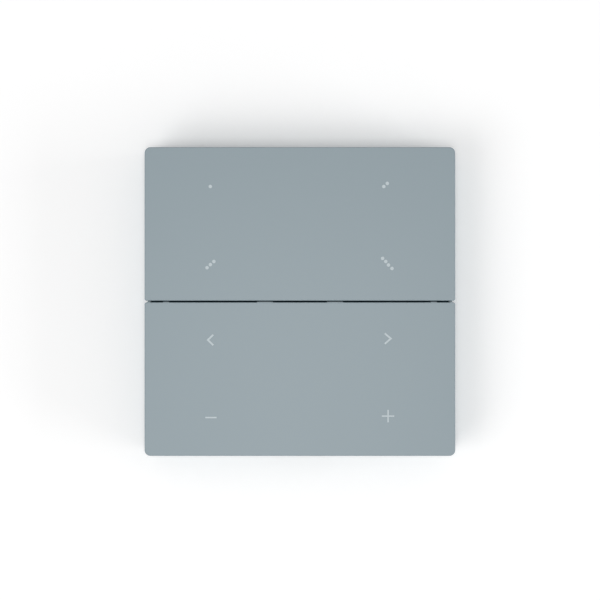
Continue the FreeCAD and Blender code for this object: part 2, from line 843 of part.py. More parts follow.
def radio_module(document, s, z, p):
    """The small board of the radio, with its aerial end towards the upper edge of the remote."""
    part = Moulding(document, "radio_module")
    middle = p.board_y - s.radio_inset - s.radio_height / 2
    outline = centred(s.radio_width / 2, s.radio_height / 2, middle)
    part.pad(z.board_bottom - s.radio_thickness, s.radio_thickness, polygon(outline))
    return part.body


def radio_shield(document, s, z, p):
    """The tin can over the radio's chips."""
    part = Moulding(document, "radio_shield")
    lower_edge = p.board_y - s.radio_inset - s.radio_height + s.shield_inset
    outline = centred(s.shield_width / 2, s.shield_height / 2, lower_edge + s.shield_height / 2)
    bottom = z.board_bottom - s.radio_thickness - s.shield_thickness
    part.pad(bottom, s.shield_thickness, polygon(outline))
    return part.body


def control_chips(document, s, z):
    """The four small chips beside the battery holder."""
    sizes = (s.chip_width, s.chip_width, s.chip_thickness)
    half = s.chip_width / 2
    chips = []
    for i, (x, y) in enumerate(corners_at(s.chip_across, s.chip_along), start=1):
        corner = (x - half, y - half, z.board_bottom - s.chip_thickness)
        chips.append(block(document, f"chip_{i}", sizes, corner))
    return group(document, "control_chips", chips)


def carrier(document, s, z, p):
    """The black deck that closes the housing and carries both yokes in open snap bearings."""
    part = Moulding(document, "carrier")
    outer_x, outer_y = p.cavity_x - s.carrier_clearance, p.cavity_y - s.carrier_clearance
    part.pad(z.deck_bottom, s.deck_thickness, polygon(centred(outer_x, outer_y)))
    part.bevel_edges(s.carrier_corner, upright)
    inner_x, inner_y = outer_x - s.carrier_rim, outer_y - s.carrier_rim
    rim = [polygon(centred(outer_x, outer_y)), polygon(centred(inner_x, inner_y))]
    part.pad(z.board_top, s.mat_thickness, *rim)
    part.pad(z.post_top, z.deck_bottom - z.post_top, *[circle(x, y, s.boss_radius) for x, y in p.screws])
    pilots = [circle(x, y, s.pilot_radius) for x, y in p.screws]
    part.pocket(z.post_top, z.deck_top - s.pilot_web - z.post_top, *pilots)
    for side in (UPPER, LOWER):
        domes = [square(x, y, s.dome_window) for x, y in press_points(p, side)]
        part.pocket(z.deck_bottom, s.deck_thickness, *domes)
        window = centred(p.bearing_start, p.window_y, p.panel_middle * side)
        part.pocket(z.deck_bottom, s.deck_thickness, polygon(window))
        yoke_bearings(part, s, z, p, p.panel_middle * side)
    return part.body


def yoke_bearings(part, s, z, p, middle):
    """The pair of blocks beside a window, each with a round seat that a trunnion snaps into from above."""
    foot = z.board_top + s.bearing_foot
    top = z.axis + s.bearing_rise
    half = s.bearing_width / 2
    blocks = [rectangle(*ordered(i, p.bearing_start, p.bearing_end), middle - half, middle + half)
              for i in BOTH_SIDES]
    part.pad(foot, top - foot, *[polygon(points) for points in blocks])
    span = p.bearing_end * 2
    seat = part.drawn(0, [circle(middle, z.axis, p.bearing_radius)], "YZ_Plane")
    part.extrude("Pocket", seat, span, both_ways=True)
    mouth = s.snap_mouth / 2
    entry = part.drawn(0, [polygon(rectangle(middle - mouth, middle + mouth, z.axis, top))], "YZ_Plane")
    part.extrude("Pocket", entry, span, both_ways=True)


def keymat(document, s, z, p, side, label):
    """A silicone mat with a hollow dome under each press point."""
    part = Moulding(document, label)
    middle = p.panel_middle * side
    part.pad(z.board_top, s.mat_thickness, polygon(centred(p.mat_x, p.mat_y, middle)))
    part.bevel_edges(s.mat_corner, upright)
    window = centred(p.bearing_end + s.mat_window_room, p.window_y + s.clip_room, middle)
    part.pocket(z.board_top, s.mat_thickness, polygon(window))
    points = press_points(p, side)
    part.pad(z.board_top, s.dome_height, *[dome_ring(x, y, s.dome_reach) for x, y in points])
    cavities = [dome_ring(x, y, s.dome_reach - s.dome_wall) for x, y in points]
    part.pocket(z.board_top, s.dome_height - s.dome_roof, *cavities)
    return part.body


def yoke(document, s, z, p, side, label):
    """The ring between carrier and panel, with one pair of trunnions along X and one along Y."""
    part = Moulding(document, label)
    middle = p.panel_middle * side
    half_x, half_y = s.yoke_width / 2, s.yoke_height / 2
    bottom = z.axis - s.yoke_thickness / 2
    part.pad(bottom, s.yoke_thickness, polygon(centred(half_x, half_y, middle)))
    part.bevel_edges(s.yoke_corner, upright)
    part.pocket(bottom, s.yoke_thickness, polygon(centred(half_x - s.yoke_bar, half_y - s.yoke_bar, middle)))
    root_x, root_y = half_x - s.yoke_bar / 2, half_y - s.yoke_bar / 2
    tip_x, tip_y = p.bearing_end - s.bearing_end_gap, p.clip_end - s.bearing_end_gap
    for i in BOTH_SIDES:
        start = ordered(i, root_x, tip_x)[0]
        across = part.drawn(start, [circle(middle, z.axis, s.trunnion_radius)], "YZ_Plane")
        part.extrude("Pad", across, tip_x - root_x)
        start = ordered(i, root_y, tip_y)[0] - middle
        along = part.drawn(start, [circle(0, z.axis, s.trunnion_radius)], "XZ_Plane")
        part.extrude("Pad", along, tip_y - root_y)
    return part.body


def key_frame(document, s, z, p, side, label):
    """The black frame under a panel, with four pushers and the two clips that snap onto the yoke."""
    part = Moulding(document, label)
    middle = p.panel_middle * side
    part.pad(z.frame_bottom, s.frame_thickness, polygon(centred(p.frame_x, p.frame_y, middle)))
    part.bevel_edges(s.frame_corner, upright)
    slits = [polygon(points) for points in tongues(s, p, side, s.tongue_fit)]
    part.pocket(z.frame_bottom, s.frame_thickness, *slits)
    half = s.window_height / 2
    far = p.press_x - s.window_clear
    windows = [rectangle(*ordered(i, s.window_near, far), middle - half, middle + half) for i in BOTH_SIDES]
    part.pocket(z.frame_bottom, s.frame_thickness, *[polygon(points) for points in windows])
    half_frame = s.frame_thickness / 2
    foot = z.dome_top + s.pusher_gap
    pushers = [polygon(plus(x, y, s.pusher_reach, s.pusher_web / 2)) for x, y in press_points(p, side)]
    part.pad(foot, z.frame_bottom + half_frame - foot, *pushers)
    clip_bottom = z.axis - s.bearing_rise
    clips = []
    for i in BOTH_SIDES:
        low, high = ordered(i, p.clip_start, p.clip_end)
        clips.append(polygon(rectangle(-s.clip_width / 2, s.clip_width / 2, middle + low, middle + high)))
    part.pad(clip_bottom, z.frame_bottom + half_frame - clip_bottom, *clips)
    span = p.clip_end * 2
    seat = part.drawn(-middle, [circle(0, z.axis, p.bearing_radius)], "XZ_Plane")
    part.extrude("Pocket", seat, span, both_ways=True)
    mouth = s.snap_mouth / 2
    entry = part.drawn(-middle, [polygon(rectangle(-mouth, mouth, clip_bottom, z.axis))], "XZ_Plane")
    part.extrude("Pocket", entry, span, both_ways=True)
    return part.body


def panel(document, s, z, p, side, label):
    """The moulded cap that a finger presses: a thin face with a rim, ribs and snap tongues beneath."""
    part = Moulding(document, label)
    middle = p.panel_middle * side
    outline = beside_gap(side, p.half_gap, p.half_height, p.half_width)
    part.pad(z.frame_bottom, z.face - z.frame_bottom, polygon(outline))
    part.round_edges(s.outer_corner, upright_at(p.half_width, p.half_height))
    part.round_edges(s.gap_corner, upright_at(p.half_width, p.half_gap))
    part.round_edges(s.face_edge, level_at(z.face))
    part.pocket(z.frame_bottom, s.frame_thickness, polygon(centred(p.inner_x, p.inner_y, middle)))
    half_skin = s.skin / 2
    half_rib = s.rib_wall / 2
    rib_x, rib_y = p.inner_x - s.rib_inset, p.inner_y + s.panel_rim / 2
    ribs = []
    for i in BOTH_SIDES:
        left, right = ordered(i, rib_x - half_rib, rib_x + half_rib)
        ribs.append(polygon(rectangle(left, right, middle - rib_y, middle + rib_y)))
    part.pad(z.frame_top - s.rib_height, s.rib_height + half_skin, *ribs)
    shanks = [polygon(points) for points in tongues(s, p, side, as_length(0))]
    part.pad(z.frame_bottom, s.frame_thickness + half_skin, *shanks)
    hooks = [polygon(points) for points in tongues(s, p, side, s.hook_reach)]
    part.pad(z.frame_bottom - s.hook_height, s.hook_height, *hooks)
    if side == LOWER:
        root = -(p.half_gap + s.nub_root)
        tip = -(p.half_gap - s.nub_proud)
        nubs = [rectangle(x - width / 2, x + width / 2, root, tip) for x, width in nub_places(s, p)]
        nub_height = z.face - s.nub_sink - z.frame_bottom
        part.pad(z.frame_bottom, nub_height, *[polygon(points) for points in nubs])
    return part.body


def build(document):
    """Builds every sub-part and gives them back as a list."""
    make_sheet(document)
    s = named_sizes()
    z = heights(s)
    p = places(s)
    parts = [
        mounting_tape(document, s, z),
        wall_plate(document, s, z, p),
        rear_housing(document, s, z, p),
        battery_cover(document, s, z, p),
        magnets(document, s, z, p),
        housing_screws(document, s, z, p),
        coin_cell(document, s, z),
        battery_holder(document, s, z),
        side_contact(document, s, z),
        cap_contact(document, s, z),
        circuit_board(document, s, z, p),
        radio_module(document, s, z, p),
        radio_shield(document, s, z, p),
        control_chips(document, s, z),
        carrier(document, s, z, p),
    ]
    for side, name in ((UPPER, "upper"), (LOWER, "lower")):
        parts.append(keymat(document, s, z, p, side, f"{name}_keymat"))
        parts.append(yoke(document, s, z, p, side, f"{name}_yoke"))
        parts.append(key_frame(document, s, z, p, side, f"{name}_key_frame"))
        parts.append(panel(document, s, z, p, side, f"{name}_panel"))
    return parts


def check(document, parts):
    """Stops if any object failed, or if a sub-part isn't made of sound solids."""
    for thing in document.Objects:
        if "Invalid" in thing.State or "Error" in thing.State:
            raise RuntimeError(f"{thing.Name} is {thing.State}")
    for part in parts:
        shape = part.Shape
        if shape.isNull() or not shape.isValid() or not shape.Solids:
            raise RuntimeError(f"{part.Label} isn't sound")


def main():
    """Builds, checks and writes one STEP file for each sub-part."""
    document = FreeCAD.newDocument("lighting_remote")
    parts = build(document)
    document.recompute()
    check(document, parts)
    os.makedirs("parts", exist_ok=True)
    for part in parts:
        part.Shape.exportStep(f"parts/{part.Label}.step")
        box = part.Shape.BoundBox
        print(f"{part.Label:16s} {len(part.Shape.Solids)} solids, {part.Shape.Volume:7.1f} mm3, "
              f"z {box.ZMin:.2f} to {box.ZMax:.2f}")


main()
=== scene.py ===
"""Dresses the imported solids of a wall-mounted lighting remote control and lights its picture.

The solids come in metres, with the origin in the middle of the back, +Z out of the front, +Y towards the
upper panel and +X to the right. The sizes in the classes below are in millimetres, in that same frame.
"""

import logging
import math
from dataclasses import dataclass
from enum import Enum
from functools import cache
from typing import Any, Sequence

import bmesh
import bpy
from bmesh.types import BMVert, BMesh
from bpy.types import ID, Material, Node, NodeSocket, NodeTree, Object, World
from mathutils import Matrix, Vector


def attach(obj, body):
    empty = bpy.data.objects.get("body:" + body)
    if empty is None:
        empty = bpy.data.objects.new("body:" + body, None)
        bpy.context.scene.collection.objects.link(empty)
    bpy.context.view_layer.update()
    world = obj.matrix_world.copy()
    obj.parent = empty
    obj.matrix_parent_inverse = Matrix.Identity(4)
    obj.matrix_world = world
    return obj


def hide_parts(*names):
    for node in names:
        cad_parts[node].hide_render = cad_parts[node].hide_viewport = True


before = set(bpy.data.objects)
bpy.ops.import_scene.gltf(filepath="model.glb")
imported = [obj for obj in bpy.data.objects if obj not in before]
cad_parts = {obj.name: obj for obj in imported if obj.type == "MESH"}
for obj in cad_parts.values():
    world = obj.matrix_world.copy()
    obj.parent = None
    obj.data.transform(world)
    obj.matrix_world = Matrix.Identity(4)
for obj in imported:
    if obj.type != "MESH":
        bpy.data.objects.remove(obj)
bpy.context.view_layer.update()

MM = 0.001
LOG = logging.getLogger("lighting_remote")
WHITE = "#FFFFFF"

# Sockets of the Mix node by number, as its modes share their names: for colours, then for plain numbers
MIX_FACTOR, MIX_FIRST, MIX_SECOND, MIX_RESULT = 0, 6, 7, 2
NUMBER_FIRST, NUMBER_SECOND, NUMBER_RESULT = 2, 3, 0

# A noise pattern mostly stays between these values
NOISE_SPREAD = (0.3, 0.7)

# How far inside its corner a quarter round has its middle, as a share of its radius
ROUND_SHARE = 0.3

Point = tuple[float, float]
Span = tuple[float, float]


class Body(Enum):
    """The bodies of the frame that pieces ride on."""

    REMOTE = "remote"
    COVER = "cover"
    UPPER_FRONT = "upper_front"
    LOWER_FRONT = "lower_front"


def heights(name: str) -> Span:
    """Gives the lowest and highest level of a solid of the frame, in millimetres."""
    levels = [corner.co.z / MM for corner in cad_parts[name].data.vertices]
    return round(min(levels), 4), round(max(levels), 4)


def linear(code: str) -> tuple[float, float, float, float]:
    """Turns an sRGB colour to linear light.

    Args:
        code: The colour as a hash sign and six hex digits.

    Returns:
        Red, green, blue and a full alpha.
    """
    shares = [int(code[i:i + 2], 16) / 255 for i in (1, 3, 5)]
    red, green, blue = [c / 12.92 if c <= 0.04045 else ((c + 0.055) / 1.055) ** 2.4 for c in shares]
    return red, green, blue, 1.0


def per(size: float) -> float:
    """Gives the scale at which a texture repeats over a size in millimetres."""
    return 1.0 / (size * MM)


def add_node(tree: NodeTree, kind: str, inputs: dict[str | int, Any] | None = None, **settings: Any) -> Node:
    """Adds one node to a tree, with its settings and links.

    Args:
        tree: The tree that gets the node.
        kind: The node's Blender type.
        inputs: What goes into its sockets, by name or number: a socket to link, or a value.
        **settings: The node's own properties.

    Returns:
        The new node.
    """
    node = tree.nodes.new(kind)
    for name, value in settings.items():
        setattr(node, name, value)
    for name, value in (inputs or {}).items():
        if isinstance(value, NodeSocket):
            tree.links.new(value, node.inputs[name])
        else:
            node.inputs[name].default_value = value
    return node


def empty_tree(owner: Material | World) -> NodeTree:
    """Gives a material or a world a node tree with nothing in it.

    Args:
        owner: The material or world.

    Returns:
        Its node tree.
    """
    owner.use_nodes = True
    owner.node_tree.nodes.clear()
    return owner.node_tree


@dataclass(frozen=True)
class Surface:
    """A material in the making: its node tree, its shader and the socket that gives the place on a piece."""

    tree: NodeTree
    shader: Node
    place: NodeSocket

    def drive(self, patterns: dict[str, NodeSocket]) -> None:
        """Lets patterns set sockets of the shader.

        Args:
            patterns: The socket that drives each of the shader's inputs, by the input's name.
        """
        for name, socket in patterns.items():
            self.tree.links.new(socket, self.shader.inputs[name])

    def vary(
        self, colour: Any, pattern: NodeSocket, shade: Span, depth: float, spread: Span = (0.0, 1.0)
    ) -> None:
        """Lets a pattern darken and lighten the colour, and raise the skin.

        Args:
            colour: The colour in linear light, or the socket that gives it.
            pattern: The socket that gives the pattern.
            shade: How bright the colour is at the pattern's low and at its high end.
            depth: How high the pattern stands, in millimetres.
            spread: The pattern's low and high end.
        """
        ends = {"From Min": spread[0], "From Max": spread[1], "To Min": shade[0], "To Max": shade[1]}
        bright = add_node(self.tree, "ShaderNodeMapRange", {"Value": pattern, **ends}).outputs["Result"]
        tone = add_node(self.tree, "ShaderNodeHueSaturation", {"Color": colour, "Value": bright})
        bump = add_node(self.tree, "ShaderNodeBump", {"Height": pattern, "Distance": depth * MM})
        self.drive({"Base Color": tone.outputs["Color"], "Normal": bump.outputs["Normal"]})


@dataclass(frozen=True)
class Finish:
    """What every finish has: a name, the sRGB colour it mostly shows, and a roughness."""

    name: str
    colour: str
    roughness: float = 0.5

    def material(self) -> Material:
        """Makes the material, once.

        Returns:
            The material, new or made before.
        """
        made = bpy.data.materials.get(self.name)
        if made is not None:
            return made
        made = bpy.data.materials.new(self.name)
        tree = empty_tree(made)
        place = add_node(tree, "ShaderNodeTexCoord").outputs["Object"]
        plain = {"Base Color": linear(self.colour), "Roughness": self.roughness}
        shader = add_node(tree, "ShaderNodeBsdfPrincipled", plain)
        add_node(tree, "ShaderNodeOutputMaterial", {"Surface": shader.outputs["BSDF"]})
        self.dress(Surface(tree, shader, place))
        return made

    def dress(self, surface: Surface) -> None:
        """Adds the finish's own pattern.

        Args:
            surface: The material in the making.
        """
        raise NotImplementedError


@dataclass(frozen=True)
class MouldedPlastic(Finish):
    """Thermoplastic or resin, injection moulded in a spark-eroded tool.

    The eye gets an even colour with a broad soft sheen. The tool leaves a fine matt grain, and the pigment
    drifts a little in the flow of the melt, which shows as a very slow change of tone.
    """

    flow_colour: str = "#808080"
    flow_size: float = 26.0
    # The real grain is about 0.05 mm wide, and is drawn coarser so that it shows in a close view
    grain_size: float = 0.22
    grain_depth: float = 0.0012
    gloss_drift: float = 0.05
    specular: float = 0.5

    def dress(self, surface: Surface) -> None:
        """Adds the pigment's drift, the tool's grain and a slight unevenness of the sheen.

        Args:
            surface: The material in the making.
        """
        tree, place = surface.tree, surface.place
        surface.shader.inputs["Specular IOR Level"].default_value = self.specular
        drift = {"Vector": place, "Scale": per(self.flow_size), "Detail": 3.0}
        flow = add_node(tree, "ShaderNodeTexNoise", drift).outputs["Fac"]
        tones = {MIX_FACTOR: flow, MIX_FIRST: linear(self.colour), MIX_SECOND: linear(self.flow_colour)}
        tone = add_node(tree, "ShaderNodeMix", tones, data_type="RGBA")
        fine = {"Vector": place, "Scale": per(self.grain_size), "Detail": 4.0}
        grain = add_node(tree, "ShaderNodeTexNoise", fine).outputs["Fac"]
        low, high = self.roughness - self.gloss_drift, self.roughness + self.gloss_drift
        sheen = add_node(tree, "ShaderNodeMapRange", {"Value": grain, "To Min": low, "To Max": high})
        bump = add_node(tree, "ShaderNodeBump", {"Height": grain, "Distance": self.grain_depth * MM})
        surface.drive({
            "Base Color": tone.outputs[MIX_RESULT],
            "Roughness": sheen.outputs["Result"],
            "Normal": bump.outputs["Normal"],
        })


@dataclass(frozen=True)
class TranslucentPolymer(Finish):
    """Moulded acetal or silicone rubber: light goes in a little way, so that edges look soft and milky."""

    depth: float = 0.8
    glow: float = 0.3
    cloud_size: float = 3.0
    cloud_depth: float = 0.004
    cloud_shade: Span = (0.94, 1.06)

    def dress(self, surface: Surface) -> None:
        """Adds the scattering below the skin and a cloudy skin.

        Args:
            surface: The material in the making.
        """
        surface.shader.inputs["Subsurface Weight"].default_value = self.glow
        surface.shader.inputs["Subsurface Scale"].default_value = self.depth * MM
        cloudy = {"Vector": surface.place, "Scale": per(self.cloud_size), "Detail": 5.0}
        cloud = add_node(surface.tree, "ShaderNodeTexNoise", cloudy).outputs["Fac"]
        surface.vary(linear(self.colour), cloud, self.cloud_shade, self.cloud_depth)


@dataclass(frozen=True)
class PlatedSheet(Finish):
    """Sheet metal, rolled and then plated with zinc, tin, nickel or gold.

    Rolling leaves faint lines along one direction, and the plating's crystals make the gloss change from spot
    to spot. The tint is the colour that the plating takes where it is thicker.
    """

    tint: str = "#808080"
    # Real rolling lines are less than 0.1 mm apart, and are drawn wider so that they show
    line_size: float = 0.35
    line_stretch: float = 40.0
    line_depth: float = 0.002
    spot_size: float = 5.0
    spot_edge: Span = (0.35, 0.65)
    gloss_drift: float = 0.08
    streak: float = 0.05

    def dress(self, surface: Surface) -> None:
        """Adds the rolling lines and the plating's spots.

        Args:
            surface: The material in the making.
        """
        tree, place = surface.tree, surface.place
        surface.shader.inputs["Metallic"].default_value = 1.0
        spotted = {"Vector": place, "Scale": per(self.spot_size), "Detail": 6.0}
        spots = add_node(tree, "ShaderNodeTexNoise", spotted).outputs["Fac"]
        ends = {"Value": spots, "From Min": self.spot_edge[0], "From Max": self.spot_edge[1]}
        thick = add_node(tree, "ShaderNodeMapRange", ends).outputs["Result"]
        tones = {MIX_FACTOR: thick, MIX_FIRST: linear(self.colour), MIX_SECOND: linear(self.tint)}
        tone = add_node(tree, "ShaderNodeMix", tones, data_type="RGBA").outputs[MIX_RESULT]
        low, high = self.roughness - self.gloss_drift, self.roughness + self.gloss_drift
        ends = {"From Min": NOISE_SPREAD[0], "From Max": NOISE_SPREAD[1], "To Min": low, "To Max": high}
        sheen = add_node(tree, "ShaderNodeMapRange", {"Value": spots, **ends})
        rolled = {"Vector": place, "Scale": (1.0 / self.line_stretch, 1.0, 1.0)}
        along = add_node(tree, "ShaderNodeMapping", rolled).outputs["Vector"]
        drawn = {"Vector": along, "Scale": per(self.line_size), "Detail": 2.0}
        lines = add_node(tree, "ShaderNodeTexNoise", drawn).outputs["Fac"]
        surface.vary(tone, lines, (1.0 - self.streak, 1.0 + self.streak), self.line_depth, NOISE_SPREAD)
        surface.drive({"Roughness": sheen.outputs["Result"]})


@dataclass(frozen=True)
class TurnedMetal(Finish):
    """Metal with fine rings round an axis, as on a pressed can or a turned screw, which catch the light."""

    # Real rings are about 0.05 mm apart, and are drawn wider so that they show
    ring_size: float = 0.18
    ring_depth: float = 0.003
    ring_shade: Span = (0.95, 1.03)
    smear_size: float = 4.0
    smear: Span = (-0.06, 0.1)

    def dress(self, surface: Surface) -> None:
        """Adds the rings and a slight smear over them.

        Args:
            surface: The material in the making.
        """
        tree, place = surface.tree, surface.place
        surface.shader.inputs["Metallic"].default_value = 1.0
        scale = per(self.ring_size) / (2 * math.pi)
        turned = {"Vector": place, "Scale": scale, "Distortion": 1.5, "Detail": 2.0}
        wave = add_node(tree, "ShaderNodeTexWave", turned, wave_type="RINGS", rings_direction="Z")
        smeared = {"Vector": place, "Scale": per(self.smear_size), "Detail": 4.0}
        smear = add_node(tree, "ShaderNodeTexNoise", smeared).outputs["Fac"]
        low, high = [self.roughness + change for change in self.smear]
        sheen = add_node(tree, "ShaderNodeMapRange", {"Value": smear, "To Min": low, "To Max": high})
        surface.vary(linear(self.colour), wave.outputs["Fac"], self.ring_shade, self.ring_depth)
        surface.drive({"Roughness": sheen.outputs["Result"]})


@dataclass(frozen=True)
class BoardLaminate(Finish):
    """Glass-fibre laminate under green solder mask.

    The copper beneath shows through the mask as lighter green: in some fields as a whole plane, in others as
    tracks along or across the board. Small gilt vias with a dark hole are left bare between them.
    """

    copper_colour: str = "#2C6C42"
    via_colour: str = "#C6A75C"
    hole_colour: str = "#11180F"
    coat: float = 0.4
    field_size: float = 8.5
    across_share: float = 0.5
    plane_share: float = 0.45
    clearance: float = 0.035
    # Real tracks are about 0.2 mm wide, and are drawn wider so that they show
    track_pitch: float = 0.9
    track_edge: Span = (0.3, 0.22)
    copper_step: float = 0.02
    via_pitch: float = 3.1
    via_scatter: float = 0.7
    via_radius: float = 0.34
    hole_radius: float = 0.15

    def copper(self, surface: Surface) -> NodeSocket:
        """Draws the planes and tracks.

        Args:
            surface: The material in the making.

        Returns:
            The socket that gives 1 where there is copper.
        """
        tree, place = surface.tree, surface.place
        scale = {"Vector": place, "Scale": per(self.field_size)}
        field, neighbour = [
            add_node(tree, "ShaderNodeTexVoronoi", scale, feature=feature, distance="CHEBYCHEV").outputs
            for feature in ("F1", "F2")
        ]
        drawn = add_node(tree, "ShaderNodeSeparateColor", {"Color": field["Color"]}).outputs
        lot = {0: drawn["Red"], 1: self.across_share}
        across = add_node(tree, "ShaderNodeMath", lot, operation="GREATER_THAN").outputs[0]
        axes = add_node(tree, "ShaderNodeSeparateXYZ", {"Vector": place}).outputs
        ways = {MIX_FACTOR: across, NUMBER_FIRST: axes["X"], NUMBER_SECOND: axes["Y"]}
        lane = add_node(tree, "ShaderNodeMix", ways, data_type="FLOAT").outputs[NUMBER_RESULT]
        folded = {0: lane, 1: self.track_pitch / 2 * MM}
        off_track = add_node(tree, "ShaderNodeMath", folded, operation="PINGPONG").outputs[0]
        outer, inner = [share * self.track_pitch * MM for share in self.track_edge]
        ends = {"Value": off_track, "From Min": outer, "From Max": inner}
        track = add_node(tree, "ShaderNodeMapRange", ends).outputs["Result"]
        lot = {0: drawn["Green"], 1: self.plane_share}
        plane = add_node(tree, "ShaderNodeMath", lot, operation="LESS_THAN").outputs[0]
        copper = add_node(tree, "ShaderNodeMath", {0: track, 1: plane}, operation="MAXIMUM").outputs[0]
        reach = {0: neighbour["Distance"], 1: field["Distance"]}
        border = add_node(tree, "ShaderNodeMath", reach, operation="SUBTRACT").outputs[0]
        clear = {0: border, 1: self.clearance}
        inside = add_node(tree, "ShaderNodeMath", clear, operation="GREATER_THAN").outputs[0]
        return add_node(tree, "ShaderNodeMath", {0: copper, 1: inside}, operation="MULTIPLY").outputs[0]

    def dress(self, surface: Surface) -> None:
        """Adds the copper under the mask and the vias through it.

        Args:
            surface: The material in the making.
        """
        tree = surface.tree
        surface.shader.inputs["Coat Weight"].default_value = self.coat
        copper = self.copper(surface)
        tones = {MIX_FACTOR: copper, MIX_FIRST: linear(self.colour), MIX_SECOND: linear(self.copper_colour)}
        tone = add_node(tree, "ShaderNodeMix", tones, data_type="RGBA").outputs[MIX_RESULT]
        scattered = {"Vector": surface.place, "Scale": per(self.via_pitch), "Randomness": self.via_scatter}
        vias = add_node(tree, "ShaderNodeTexVoronoi", scattered).outputs["Distance"]
        for radius, colour in ((self.via_radius, self.via_colour), (self.hole_radius, self.hole_colour)):
            within = {0: vias, 1: radius / self.via_pitch}
            disc = add_node(tree, "ShaderNodeMath", within, operation="LESS_THAN").outputs[0]
            bare = {MIX_FACTOR: disc, MIX_FIRST: tone, MIX_SECOND: linear(colour)}
            tone = add_node(tree, "ShaderNodeMix", bare, data_type="RGBA").outputs[MIX_RESULT]
        bump = add_node(tree, "ShaderNodeBump", {"Height": copper, "Distance": self.copper_step * MM})
        surface.drive({"Base Color": tone, "Normal": bump.outputs["Normal"]})


@dataclass(frozen=True)
class FoamTape(Finish):
    """Acrylic foam tape, cast: dull, with closed cells that show as fine pits."""

    # Real cells are about 0.1 mm wide, and are drawn coarser so that they show
    cell_size: float = 0.5
    cell_depth: float = 0.05
    cell_shade: Span = (0.9, 1.05)

    def dress(self, surface: Surface) -> None:
        """Adds the foam's cells.

        Args:
            surface: The material in the making.
        """
        foamed = {"Vector": surface.place, "Scale": per(self.cell_size)}
        cells = add_node(surface.tree, "ShaderNodeTexVoronoi", foamed).outputs["Distance"]
        surface.vary(linear(self.colour), cells, self.cell_shade, self.cell_depth)


@dataclass(frozen=True)
class PrintedInk(Finish):
    """An opaque printed or marked skin whose cover is a little uneven."""

    thin_colour: str = "#C0C8CC"
    spot_size: float = 0.3

    def dress(self, surface: Surface) -> None:
        """Adds the uneven cover.

        Args:
            surface: The material in the making.
        """
        spots = {"Vector": surface.place, "Scale": per(self.spot_size), "Detail": 2.0}
        cover = add_node(surface.tree, "ShaderNodeTexNoise", spots).outputs["Fac"]
        tones = {MIX_FACTOR: cover, MIX_FIRST: linear(self.colour), MIX_SECOND: linear(self.thin_colour)}
        tone = add_node(surface.tree, "ShaderNodeMix", tones, data_type="RGBA")
        surface.drive({"Base Color": tone.outputs[MIX_RESULT]})


# Satin blue-grey faces that keep a soft image of the lamps
PANEL_PLASTIC = MouldedPlastic("moulded_blue_grey_polycarbonate", "#87969D", 0.365, flow_colour="#85949B")
# The same colour on the tray, a little duller
HOUSING_PLASTIC = MouldedPlastic("moulded_blue_grey_abs", "#87969D", 0.42, flow_colour="#85949B")
# Near black and dull, on pieces that show only when the remote is open
BLACK_PLASTIC = MouldedPlastic(
    "moulded_black_abs", "#14191C", 0.6, flow_colour="#191F22", grain_depth=0.003, specular=0.3
)
# Painted shade: a dark blue slate without gloss on the deck stands in for the deep shade and bluish bounce
# light in the gap between the panels, so that the gap reads as a blue-black line
GAP_SHADE_DECK_PLASTIC = MouldedPlastic(
    "moulded_slate_polyamide", "#1B3039", 0.85, flow_colour="#192B33", grain_depth=0.003, specular=0.2
)
# Charcoal, dulled by a coarse filler
CHIP_RESIN = MouldedPlastic("moulded_black_epoxy", "#1E1E1F", 0.6, flow_colour="#262627", grain_depth=0.006)
# Milky off-white with a waxy sheen
ACETAL = TranslucentPolymer("moulded_natural_acetal", "#DDDCD4", 0.38)
# Mid grey, soft and dull
SILICONE = TranslucentPolymer("moulded_grey_silicone", "#84898C", 0.55, depth=1.2, glow=0.2)
# Glossy green over lighter copper
LAMINATE = BoardLaminate("masked_glass_fibre_laminate", "#1D4F31", 0.35)
# Pale grey metal with a soft gloss
TIN_PLATE = PlatedSheet("pressed_tin_plate", "#B9BAB7", 0.34, tint="#AAACAE")
# Bluish grey metal with faint straw clouds and clear rolling lines
ZINC_PLATE = PlatedSheet(
    "rolled_zinc_plated_steel", "#AFB4B9", 0.34, tint="#B9B9B3", spot_size=11.0, streak=0.07
)
# Bright metal, faintly yellow and nearly a mirror
NICKEL_PLATE = PlatedSheet("ground_nickel_plate", "#B7B3AA", 0.18, tint="#A9A69F", gloss_drift=0.04)
# Bright yellow contact metal
SPRING_METAL = PlatedSheet("pressed_gilt_bronze", "#D9B35F", 0.25, tint="#CBA352")
# Pale steel with rings round its middle
CELL_CAN = TurnedMetal("pressed_stainless_can", "#BDBCB9", 0.24, ring_size=0.35)
# Cool grey metal with fine rings
SCREW_STEEL = TurnedMetal("turned_zinc_plated_screw", "#B2B3B5", 0.32)
# Pale warm grey, soft and dull
FOAM = FoamTape("cast_acrylic_foam", "#D9D8D2", 0.8)
# Brownish grey, where a laser has darkened the can
LASER_MARK = PrintedInk("laser_darkened_steel", "#5E5D5A", 0.5, thin_colour="#6B6A66")
# Pale blue-grey signs that stand out softly from the panels
SYMBOL_INK = PrintedInk("pad_printed_pale_ink", "#C2CCD0", 0.55, thin_colour="#BBC6CA")


def dress_nodes(finishes: dict[str, Finish]) -> None:
    """Gives solids of the frame their finishes.

    Args:
        finishes: The finish for all the faces of each solid, by its node's name.
    """
    for name, finish in finishes.items():
        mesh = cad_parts[name].data
        mesh.materials.clear()
        mesh.materials.append(finish.material())
        LOG.info("dressed %s as %s", name, finish.name)


def new_object(name: str, data: ID) -> Object:
    """Makes an object and links it to the scene.

    Args:
        name: The object's name.
        data: Its mesh, lamp or camera.

    Returns:
        The object.
    """
    made = bpy.data.objects.new(name, data)
    bpy.context.scene.collection.objects.link(made)
    return made


